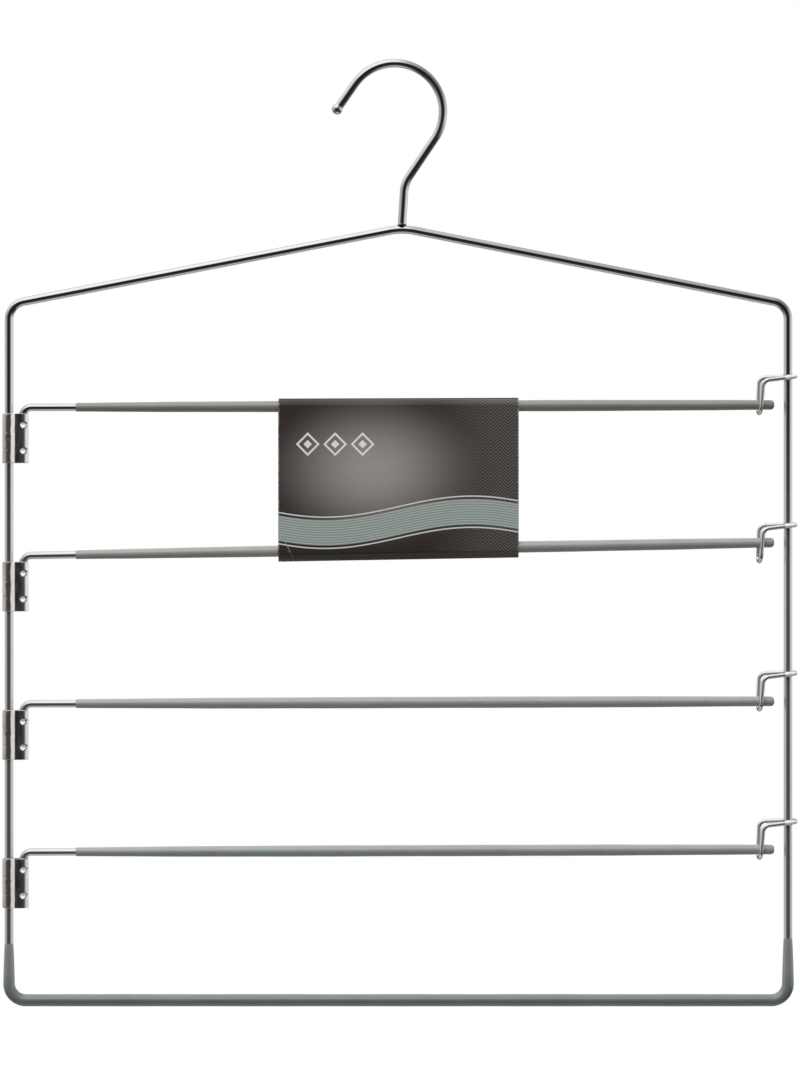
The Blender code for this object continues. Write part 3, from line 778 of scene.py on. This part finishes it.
def bar_coat():
    """Coat on the bottom bar, thinning up both uprights to a rounded lip."""
    drops = (0.0, LIP_ROUNDING / 2, LIP_ROUNDING)
    left = [xz(LEFT_X, COAT_TOP - drop) for drop in drops]
    right = [xz(RIGHT_X, COAT_TOP + COAT_RIGHT_RISE - drop) for drop in drops]
    corners = [*left, xz(LEFT_X, BAR_Z), xz(RIGHT_X, BAR_Z), *right[::-1]]
    plain = [None] * len(drops)
    radii = plain + [BOTTOM_CORNER_RADIUS] * 2 + plain
    path = even_points(bent_wire(corners, radii), COAT_STEP)
    lip_r = FRAME_R + COAT_LIP_WALL
    lengths = [0.0]
    for start, end in zip(path, path[1:]):
        lengths.append(lengths[-1] + (end - start).length)
    outer = []
    for length in lengths:
        from_lip = min(length, lengths[-1] - length)
        thin = max(0.0, 1 - from_lip / COAT_LIP_TAPER) ** 2
        radius = COAT_R - (COAT_R - lip_r) * thin + wave(length, BAR_PHASE)
        bare = max(0.0, 1 - from_lip / LIP_ROUNDING)
        outer.append(radius - (radius - FRAME_R) * bare ** 2)
    return sweep(path, outer, WIRE_SIDES)


def hook_body():
    """Hook from its weld on the frame's peak to the upset head at its tip."""
    weld = xz(HOOK_OFFSET, wire_high.z)
    crown_centre = xz(0.0, HOOK_R - HOOK_RADIUS)
    crown = arc_xz(crown_centre, HOOK_RADIUS, -HOOK_LEAN, HOOK_CROWN_END)
    to_tip = xz(-math.sin(HOOK_CROWN_END), math.cos(HOOK_CROWN_END))
    shank = xz(math.sin(HOOK_SHANK_LEAN), math.cos(HOOK_SHANK_LEAN))
    slope = xz(math.sin(HOOK_LEAN), math.cos(HOOK_LEAN))
    bend = (crown[0] - weld).cross(slope).y / shank.cross(slope).y
    neck = rounded_corner(weld, weld + shank * bend, crown[0], HOOK_NECK_RADIUS)

    path = [weld + shank * height for height, _ in HOOK_FOOT]
    radii = [radius for _, radius in HOOK_FOOT]
    path += neck + crown
    radii += [HOOK_R] * (len(neck) + len(crown))

    middle = HOOK_TIP - HOOK_HEAD_DOME
    first = math.pi - math.asin(HOOK_R / HOOK_HEAD_R)
    count = math.ceil(first / HEAD_STEP)
    path.append(crown[-1] + to_tip * (middle + HOOK_HEAD_R * math.cos(first) - HOOK_HEAD_NECK))
    radii.append(HOOK_R)
    for i in range(count):
        angle = first * (1 - i / count)
        reach = HOOK_HEAD_DOME if angle < math.pi / 2 else HOOK_HEAD_R
        path.append(crown[-1] + to_tip * (middle + reach * math.cos(angle)))
        radii.append(HOOK_HEAD_R * math.sin(angle))
    bm = sweep(path, radii, WIRE_SIDES)
    # faces of the foot take the dark second material: painted shade where the hook meets the frame
    for face in bm.faces:
        face.material_index = int(face.calc_center_median().z < weld.z + WELD_SHADE_TOP)
    return bm


def arm_line(tier):
    """Hinge point, unit vector along the bar and end of the bare wire of an arm."""
    pivot = pivots[tier - 1]
    _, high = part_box(f"arm_wire_{tier}")
    end = xz(high.x, high.z - ARM_R)
    return pivot, (end - pivot).normalized(), end


def arm_wire(tier):
    """Bent arm; two grooves in its leg take the clip's dimples."""
    pivot, _, end = arm_line(tier)
    foot = pivot + xz(0.0, CLIP_BOTTOM + LEG_RECESS)
    groove_r = ARM_R - DIMPLE_DEPTH
    path = [foot]
    radii = [ARM_R]
    for share in DIMPLE_HEIGHTS:
        middle = CLIP_BOTTOM + (CLIP_TOP - CLIP_BOTTOM) * share
        for offset, radius in ((-1, ARM_R), (-GROOVE_FLAT, groove_r),
                               (GROOVE_FLAT, groove_r), (1, ARM_R)):
            path.append(pivot + xz(0.0, middle + offset * DIMPLE_RADIUS))
            radii.append(radius)
    bend = rounded_corner(foot, pivot, end, ARM_BEND_RADIUS)
    path += [*bend, end]
    radii += [ARM_R] * (len(bend) + 1)
    return sweep(path, radii, WIRE_SIDES)


def quarter_turn():
    """Angles from nought to a right angle, over which a coat's edge is rounded."""
    return [math.pi / 2 * i / ROUND_STEPS for i in range(ROUND_STEPS + 1)]


def arm_coat(tier):
    """Coat of an arm: a rounded lip, a wall that swells and a rounded closed end."""
    pivot, along, _ = arm_line(tier)
    bore = ARM_R + COAT_GAP
    start_r = bore + SLEEVE_START_WALL
    tip_r = bore + SLEEVE_TIP_WALL
    start = SLEEVE_LOW + SLEEVE_INSET
    profile = []
    for angle in quarter_turn():
        reach = SLEEVE_LIP * (1 - math.cos(angle))
        profile.append((start + reach, ARM_R + (start_r - ARM_R) * math.sin(angle)))
    body_start = start + SLEEVE_LIP
    body_end = ARM_REACH - SLEEVE_ROUNDING
    count = math.ceil((body_end - body_start) / COAT_STEP)
    for i in range(1, count):
        distance = body_start + (body_end - body_start) * i / count
        thin_start = max(0.0, 1 - (distance - start) / SLEEVE_SWELL) ** 2
        thin_tip = max(0.0, 1 - (ARM_REACH - distance) / SLEEVE_TIP_TAPER) ** 2
        radius = SLEEVE_R - (SLEEVE_R - start_r) * thin_start - (SLEEVE_R - tip_r) * thin_tip
        profile.append((distance, radius + wave(distance, ARM_PHASE * tier)))
    for angle in quarter_turn():
        inset = SLEEVE_ROUNDING * (1 - math.sin(angle))
        profile.append((ARM_REACH - inset, tip_r - SLEEVE_ROUNDING * (1 - math.cos(angle))))
    path = [pivot + along * distance for distance, _ in profile]
    return sweep(path, [radius for _, radius in profile], WIRE_SIDES)


def clip_line():
    """Mid line of the clip's strip seen from above and its outward normals, from the upright's axis.

    It starts at the knuckle's seam, runs along the knuckle's flat front, down into the waist and up
    round the upright, and the rear mirrors the front.
    """
    lobe_r = FRAME_R + SEAT_GAP + CLIP_SHEET / 2
    seam = math.asin(CLIP_SEAM / 2 / KNUCKLE_R)
    front = -math.pi / 2
    leaving = front + CLIP_SLOPE
    lobe_start = Vector((math.cos(leaving), math.sin(leaving), 0.0)) * lobe_r
    waist_y = lobe_start.y + (CLIP_WAIST - lobe_start.x) * math.tan(CLIP_SLOPE)
    waist = Vector((CLIP_WAIST, waist_y, 0.0))
    step = Vector((CLIP_WAIST + CLIP_STEP_LEAN, -KNUCKLE_R, 0.0))
    flat_end = Vector((PIVOT_OFFSET, -KNUCKLE_R, 0.0))
    points = []
    normals = []

    def add_arc(centre, radius, start, end):
        count = math.ceil(abs(end - start) * radius / CLIP_FACET)
        for i in range(count + 1):
            angle = start + (end - start) * i / count
            radial = Vector((math.cos(angle), math.sin(angle), 0.0))
            points.append(centre + radial * radius)
            normals.append(radial)

    def add_straight(end, normal):
        start = points[-1]
        count = math.ceil((end - start).length / CLIP_FACET)
        for i in range(1, count):
            points.append(start.lerp(end, i / count))
            normals.append(normal)

    def add_corner(before, corner, after, radius, side):
        centre, _ = corner_centre(before, corner, after, radius)
        arc = rounded_corner(before, corner, after, radius)[::CLIP_CORNER_SKIP]
        bent = [(point - centre).normalized() * side for point in arc]
        add_straight(arc[0], bent[0])
        points.extend(arc)
        normals.extend(bent)

    add_arc(Vector((PIVOT_OFFSET, 0.0, 0.0)), KNUCKLE_R, -seam, front)
    add_corner(flat_end, step, waist, CLIP_STEP_RADIUS, 1.0)
    add_corner(step, waist, lobe_start, CLIP_WAIST_RADIUS, -1.0)
    add_straight(lobe_start, lobe_start.normalized())
    add_arc(Vector(), lobe_r, leaving, -math.pi)
    mirror = Vector((1.0, -1.0, 1.0))
    points += [point * mirror for point in points[-2::-1]]
    normals += [normal * mirror for normal in normals[-2::-1]]
    return points, normals


def lobe_dent(share):
    """How far the lobe on the upright is pressed in at a share of its height."""
    depth = CLIP_ROLL * ease((share - 1 + CLIP_ROLL_SHARE) / CLIP_ROLL_SHARE)
    for middle in CRIMP_SHARES:
        away = min(1.0, abs(share - middle) / CRIMP_HALF_SHARE)
        depth += CRIMP_DEPTH * (1 + math.cos(math.pi * away)) / 2
    return depth


def hinge_clip(tier):
    """Wrapped strip with two dimples in the front of its knuckle and a stake in the other lobe."""
    points, normals = clip_line()
    base = Vector((LEFT_X, 0.0, pivots[tier - 1].z + CLIP_BOTTOM))
    height = CLIP_TOP - CLIP_BOTTOM
    marks = [(Vector((PIVOT_OFFSET + DIMPLE_SHIFT, -KNUCKLE_R, height * share)), DIMPLE_DEPTH)
             for share in DIMPLE_HEIGHTS]
    marks.append((Vector((0.0, -KNUCKLE_R, height * sum(DIMPLE_HEIGHTS) / 2)), STAKE_DEPTH))
    rows = []
    for i in range(CLIP_ROWS + 1):
        share = i / CLIP_ROWS
        level = Vector((0.0, 0.0, height * share))
        row = []
        for point, normal in zip(points, normals):
            on_lobe = ease((FRAME_R / 2 - point.x) / FRAME_R)
            place = point + level - normal * (lobe_dent(share) * on_lobe)
            for centre, depth in marks:
                off = place - centre
                off.z *= 1 + math.copysign(DIMPLE_LEAN, off.z)
                if off.x > 0.0:
                    off.x /= DIMPLE_STRETCH
                    off.y /= DIMPLE_STRETCH
                near = off.length / DIMPLE_RADIUS
                if near < 1.0:
                    place = place - normal * (depth * (1 + math.cos(math.pi * near)) / 2)
            row.append(base + place)
        rows.append(row)
    bm, _ = sheet_body(rows, [normals] * len(rows), CLIP_SHEET, closed=False)
    return bm


def stirrup(tier):
    """Hairpin round an arm's free end, with pinched ends and weld nuggets on the right upright."""
    half = SLEEVE_R + SEAT_GAP + STIRRUP_R
    weld_half = FRAME_R + SEAT_GAP + STIRRUP_R
    low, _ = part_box(f"stirrup_{tier}")
    bottom = low.z + STIRRUP_R

    def leg_and_run(side, shift, rise, lean, run_slope, tail):
        """Foot, top corner, free end and weld of one half of the hairpin."""
        foot_x = -STIRRUP_REACH - shift
        top = STIRRUP_DROP + rise
        top_x = foot_x + top * math.tan(math.radians(lean))
        tail_x = FRAME_R + tail
        slope = math.tan(math.radians(run_slope))
        spread = (half - weld_half) / -top_x
        upright = Vector((RIGHT_X, 0.0, bottom))
        return (
            upright + Vector((foot_x, side * half, 0.0)),
            upright + Vector((top_x, side * half, top)),
            upright + Vector((tail_x, side * (weld_half - spread * tail_x),
                              top + (tail_x - top_x) * slope)),
            upright + Vector((0.0, side * (weld_half - NUGGET_SINK), top - top_x * slope)),
        )

    front_foot, front_top, front_end, front_weld = leg_and_run(*STIRRUP_FRONT)
    rear_foot, rear_top, rear_end, rear_weld = leg_and_run(*STIRRUP_REAR)

    def pinch(end, inward):
        """Points from a cut end, over which it thins out, to past its weld."""
        direction = (inward - end).normalized()
        return [end + direction * (PINCH_LENGTH * share) for share in PINCH_SHARES]

    front_pinch = pinch(front_end, front_top)
    rear_pinch = pinch(rear_end, rear_top)[::-1]
    corners = [*front_pinch, front_top, front_foot, rear_foot, rear_top, *rear_pinch]
    turn = half * TURN_FIT
    plain = [None] * len(front_pinch)
    bends = [STIRRUP_BEND_RADIUS, turn, turn, STIRRUP_BEND_RADIUS]
    path = bent_wire(corners, [*plain, *bends, *plain])
    radii = []
    for point in path:
        reach = min((point - front_end).length, (point - rear_end).length)
        radii.append(PINCH_R + (STIRRUP_R - PINCH_R) * math.sqrt(min(1.0, reach / PINCH_LENGTH)))
    bm = sweep(path, radii, THIN_SIDES)
    around, lengthwise = NUGGET_FACETS
    for weld in (front_weld, rear_weld):
        made = bmesh.ops.create_uvsphere(bm, u_segments=around, v_segments=lengthwise, radius=1.0)
        for vert in made["verts"]:
            vert.co = weld + vert.co * NUGGET
    # faces by the right upright take the second material: a dull weld finish brightened as a painted
    # highlight
    for face in bm.faces:
        face.material_index = int(face.calc_center_median().x > RIGHT_X - NUGGET.x)
    return bm


def card_line(upper_z, lower_z):
    """Mid line of the card in the YZ plane: round over the upper arm, creased under the lower one."""
    half = SLEEVE_R + SEAT_GAP + CARD_SHEET / 2
    corners = [
        Vector((0.0, -half, upper_z + half)),
        Vector((0.0, half, upper_z + half)),
        Vector((0.0, half, lower_z - CARD_KNEE_DROP)),
        Vector((0.0, 0.0, lower_z - half - CARD_CREASE_SLACK)),
        Vector((0.0, -half, lower_z - CARD_KNEE_DROP)),
    ]
    over = half * TURN_FIT
    radii = (over, over, CARD_KNEE_RADIUS, CARD_CREASE_RADIUS, CARD_KNEE_RADIUS)
    return bent_wire(corners, radii)


def card_body():
    """Card round the two upper arms: its faces belly a little, and its back has a glued overlap."""
    arms = [arm_line(tier) for tier in (1, 2)]
    rows = []
    normals = []
    flap_z = card_high.z - CARD_FLAP
    for i in range(CARD_COLUMNS + 1):
        share = i / CARD_COLUMNS
        x = card_low.x + (card_high.x - card_low.x) * share
        upper_z, lower_z = [pivot.z + (x - pivot.x) * along.z / along.x for pivot, along, _ in arms]
        count = round((upper_z - lower_z) / CARD_ROW_STEP)
        row = []
        for point in panel_points(card_line(upper_z, lower_z), count):
            height = (point.z - lower_z) / (upper_z - lower_z)
            belly = math.sin(math.pi * min(1.0, max(0.0, height)))
            sway = math.sin(CARD_SWAY_TURN * share + CARD_SWAY_PHASE)
            belly *= CARD_BULGE * (1 - CARD_SWAY + CARD_SWAY * sway)
            side = 1.0 if point.y > 0 else -1.0
            row.append(Vector((x, point.y + side * belly, point.z)))
        rows.append(row)
        normals.append(loop_normals(row))
    offsets = [CARD_SHEET if p.y > 0 and p.z > flap_z else 0.0 for p in rows[0]]
    bm, outer_faces = sheet_body(rows, normals, CARD_SHEET, closed=True, offsets=offsets)
    for face in bm.faces:
        face.material_index = 2
    for face in outer_faces:
        face.material_index = 0 if face.calc_center_median().y < 0 else 1
    return bm


def panel_points(line, count):
    """The closed line with its two long straight stretches cut into even steps."""
    points = []
    for start, end in zip(line, line[1:] + line[:1]):
        points.append(start)
        long = abs(end.z - start.z) > CARD_LONG
        for i in range(1, count if long else 1):
            points.append(start.lerp(end, i / count))
    return points


def loop_normals(points):
    """Outward normals of a closed loop in the YZ plane that runs clockwise from the front."""
    normals = []
    for k in range(len(points)):
        along = points[(k + 1) % len(points)] - points[k - 1]
        normals.append(Vector((0.0, -along.z, along.y)).normalized())
    return normals


def round_edges(piece):
    """Round the cut edges of a sheet."""
    bevel = piece.modifiers.new("rounded_edges", "BEVEL")
    bevel.width = CLIP_EDGE
    bevel.segments = 2
    bevel.limit_method = "ANGLE"
    bevel.angle_limit = CLIP_EDGE_ANGLE


def build_object():
    """All the pieces, each in place of its solid."""
    wire = chrome_material("wire_chrome", (0.74, 0.74, 0.73, 1.0), (0.68, 0.68, 0.675, 1.0),
                           CHROME_RIM, (0.05, 0.10), 0.05, low_metal=LOW_METAL)
    thin = chrome_material("thin_wire", (0.84, 0.84, 0.84, 1.0), (0.80, 0.80, 0.80, 1.0),
                           THIN_RIM, (0.06, 0.10), 0.04, metal=0.86)
    # pale, little metallic weld beads and tails: a dull weld finish, brightened as a painted highlight
    frost_highlight = chrome_material("weld_frost_highlight", (0.93, 0.93, 0.92, 1.0), (0.80, 0.80, 0.80, 1.0),
                            CHROME_RIM, (0.2, 0.3), 0.10, metal=0.30)
    # near-black plate: painted shade where the hook meets the frame
    seam = chrome_material("weld_contact_shade", (0.10, 0.09, 0.085, 1.0), (0.05, 0.045, 0.04, 1.0),
                           CHROME_RIM, (0.4, 0.6), 0.2)
    plate = clip_material()
    arm_pvc = [pvc_material(f"arm_{tier}_pvc", srgb(*pale), srgb(*deep), ARM_GLOSS)
               for tier, (pale, deep) in enumerate(ARM_COLOURS, 1)]
    # the last colour is painted light on the coat up the uprights
    bar_pvc = pvc_material("bar_pvc", srgb(107, 117, 115), srgb(100, 109, 107), BAR_GLOSS,
                           thin=srgb(128, 133, 130))
    printed = [card_front_material(), card_back_material(), paper_material()]

    finish_piece("frame_loop", frame_loop(), [wire], "frame", "chrome", "frame_wire")
    finish_piece("bar_coat", bar_coat(), [bar_pvc], "frame", "grey_pvc", "frame_coating")
    finish_piece("rail_hook", hook_body(), [wire, seam], "frame", "chrome", "hook")
    for tier, pvc in enumerate(arm_pvc, 1):
        arm = f"arm_{tier}"
        clip = finish_piece(f"clip_{tier}", hinge_clip(tier), [plate], "frame", "chrome",
                            f"hinge_clip_{tier}")
        round_edges(clip)
        finish_piece(f"hairpin_{tier}", stirrup(tier), [thin, frost_highlight], "frame", "chrome",
                     f"stirrup_{tier}")
        finish_piece(f"{arm}_rod", arm_wire(tier), [wire], arm, "chrome", f"arm_wire_{tier}")
        finish_piece(f"{arm}_coat", arm_coat(tier), [pvc], arm, "grey_pvc", f"arm_sleeve_{tier}")
    finish_piece("card", card_body(), printed, "arm_1", "printed_card", "card_sleeve")


# Studio
BACKGROUND = (1.0, 1.0, 1.0, 1.0)
# Light round the hanger as the viewer sees it, which the polished wire mirrors. Each step has its angle
# in degrees from the right over the top, its colour and how far towards the viewer it reaches.
ROOM_FRONT = (0.014, 0.013, 0.012, 1.0)
ROOM_STRENGTH = 1.28
ROOM_STEPS = (
    (0, (0.74, 0.76, 0.76), 0.32),
    (35, (0.22, 0.21, 0.21), 0.50),
    (60, (0.27, 0.25, 0.25), 0.75),
    (77, (0.50, 0.46, 0.45), 0.96),
    (88, (0.92, 0.90, 0.88), 1.00),
    (102, (1.00, 0.99, 0.97), 1.00),
    (125, (0.94, 0.92, 0.90), 0.96),
    (146, (0.80, 0.77, 0.74), 0.40),
    (165, (0.45, 0.42, 0.40), 0.40),
    (180, (0.56, 0.53, 0.51), 0.25),
    (205, (0.20, 0.19, 0.18), 0.30),
    (228, (0.04, 0.04, 0.04), 0.30),
    (255, (0.13, 0.13, 0.13), 0.15),
    (270, (0.20, 0.20, 0.20), 0.15),
    (288, (0.08, 0.08, 0.08), 0.15),
    (318, (0.025, 0.025, 0.025), 0.30),
    (334, (0.04, 0.04, 0.04), 0.30),
    (348, (0.40, 0.41, 0.41), 0.30),
    (360, (0.74, 0.76, 0.76), 0.32),
)
ROOM_START = -0.985  # how near the way to the viewer a step's light starts
ROOM_REACH = 0.20  # where a step of no reach is full
BACK_FADE = (0.30, 0.90)  # white behind the hanger
BACK_DIM = (0.72, 0.96)  # dimmer straight behind, which only the back of the wire mirrors
ROOM_BACK = (0.06, 0.06, 0.06, 1.0)
FLOOR_DROP = 0.28  # below the bottom bar
FLOOR_SIZE = (1.10, 0.52)
FLOOR_FADE = (0.60, 0.98)  # share of the way to its rim
FLOOR_COLOUR = (0.42, 0.42, 0.42, 1.0)
FLOOR_SEEN = (0.56, 0.56, 0.56, 1.0)  # to the camera and in mirrors
KEY_PLACE = Vector((-0.15, -1.25, 1.05))
KEY_SIZE = (1.7, 1.2)
KEY_POWER = 30.0

# Camera: the photograph is 800 by 1070 pixels, and the hanger lies square to it
PIXEL = 0.000475  # metres in the plane of the frame
PHOTO_HEIGHT = 1070
CAMERA_DISTANCE = 1.6
AIM_X = 0.00258
AIM_Z = -0.2221


def build_world():
    """Steps of light round the hanger, dark at the viewer and dim behind; the camera sees white."""
    world = bpy.data.worlds.new("studio")
    bpy.context.scene.world = world
    world.use_nodes = True
    tree = world.node_tree
    tree.nodes.clear()
    nodes = Nodes(tree)
    direction = nodes.new("TexCoord").outputs["Generated"]
    x, y, z = nodes.parts(direction)
    turn = nodes.math("DIVIDE", nodes.math("ARCTAN2", z, x), 2 * math.pi)
    turn = nodes.math("FRACT", nodes.plus(turn, 1.0))
    ring = nodes.new("ValToRGB")
    steps = ring.color_ramp.elements
    for angle, _, _ in ROOM_STEPS[1:-1]:
        steps.new(angle / 360)
    for step, (_, colour, reach) in zip(steps, ROOM_STEPS):
        step.color = (*colour, reach)
    nodes.put(turn, ring.inputs["Fac"])
    full = nodes.minus(ROOM_REACH, ring.outputs["Alpha"])
    tone = nodes.mix(nodes.fade(y, ROOM_START, full), ROOM_FRONT, ring.outputs["Color"])
    tone = nodes.mix(nodes.fade(y, *BACK_DIM), tone, ROOM_BACK)
    share = nodes.times(nodes.fade(y, *BACK_FADE), nodes.fade(y, *BACK_DIM, 1.0, 0.0))
    room = nodes.new("Background")
    nodes.put(tone, room.inputs["Color"])
    room.inputs["Strength"].default_value = ROOM_STRENGTH
    behind = nodes.new("Background")
    behind.inputs["Color"].default_value = BACKGROUND
    ray = nodes.new("LightPath").outputs
    mirrored = nodes.most(ray["Is Glossy Ray"], ray["Is Transmission Ray"])
    white = nodes.most(ray["Is Camera Ray"], nodes.times(mirrored, share))
    nodes.mix_shaders(white, room.outputs[0], behind.outputs[0], "OutputWorld")


def build_floor():
    """Pale floor under the hanger: it takes the shadow, and its rim fades into the white."""
    width, depth = FLOOR_SIZE
    z = BAR_Z - FLOOR_DROP
    corners = [(MIDDLE_X + width * across, depth * along, z)
               for across, along in ((-0.5, -0.5), (0.5, -0.5), (0.5, 0.5), (-0.5, 0.5))]
    mesh = bpy.data.meshes.new("floor")
    mesh.from_pydata(corners, [], [(0, 1, 2, 3)])
    floor = add_object("floor", mesh)
    material = bpy.data.materials.new("pale_floor")
    material.use_nodes = True
    tree = material.node_tree
    tree.nodes.clear()
    nodes = Nodes(tree)
    matt = nodes.new("BsdfDiffuse")
    ray = nodes.new("LightPath").outputs
    seen = nodes.most(ray["Is Camera Ray"], ray["Is Glossy Ray"])
    seen = nodes.most(seen, ray["Is Transmission Ray"])
    nodes.put(nodes.mix(seen, FLOOR_COLOUR, FLOOR_SEEN), matt.inputs["Color"])
    clear = nodes.new("BsdfTransparent")
    x, y, _ = nodes.parts(nodes.place())
    x = nodes.math("DIVIDE", nodes.minus(x, MIDDLE_X), width / 2)
    y = nodes.math("DIVIDE", y, depth / 2)
    rim = nodes.fade(nodes.distance(x, y), *FLOOR_FADE)
    nodes.mix_shaders(rim, matt.outputs[0], clear.outputs[0], "OutputMaterial")
    mesh.materials.append(material)


def build_lamp():
    """One large softbox above the viewer."""
    lamp = bpy.data.lights.new("softbox", "AREA")
    lamp.shape = "RECTANGLE"
    lamp.size, lamp.size_y = KEY_SIZE
    lamp.energy = KEY_POWER
    softbox = add_object("softbox", lamp)
    softbox.location = KEY_PLACE
    softbox.visible_glossy = False
    aim = xz(AIM_X, AIM_Z) - KEY_PLACE
    softbox.rotation_mode = "QUATERNION"
    softbox.rotation_quaternion = aim.to_track_quat("-Z", "Y")


def build_camera():
    """Camera square to the frame, at the photograph's scale."""
    data = bpy.data.cameras.new("camera")
    data.lens = data.sensor_width * CAMERA_DISTANCE / (PHOTO_HEIGHT * PIXEL)
    camera = add_object("camera", data)
    camera.location = (AIM_X, -CAMERA_DISTANCE, AIM_Z)
    camera.rotation_euler = (math.pi / 2, 0.0, 0.0)
    bpy.context.scene.camera = camera


build_object()
build_world()
build_floor()
build_lamp()
build_camera()
bpy.context.scene.view_settings.view_transform = "Standard"
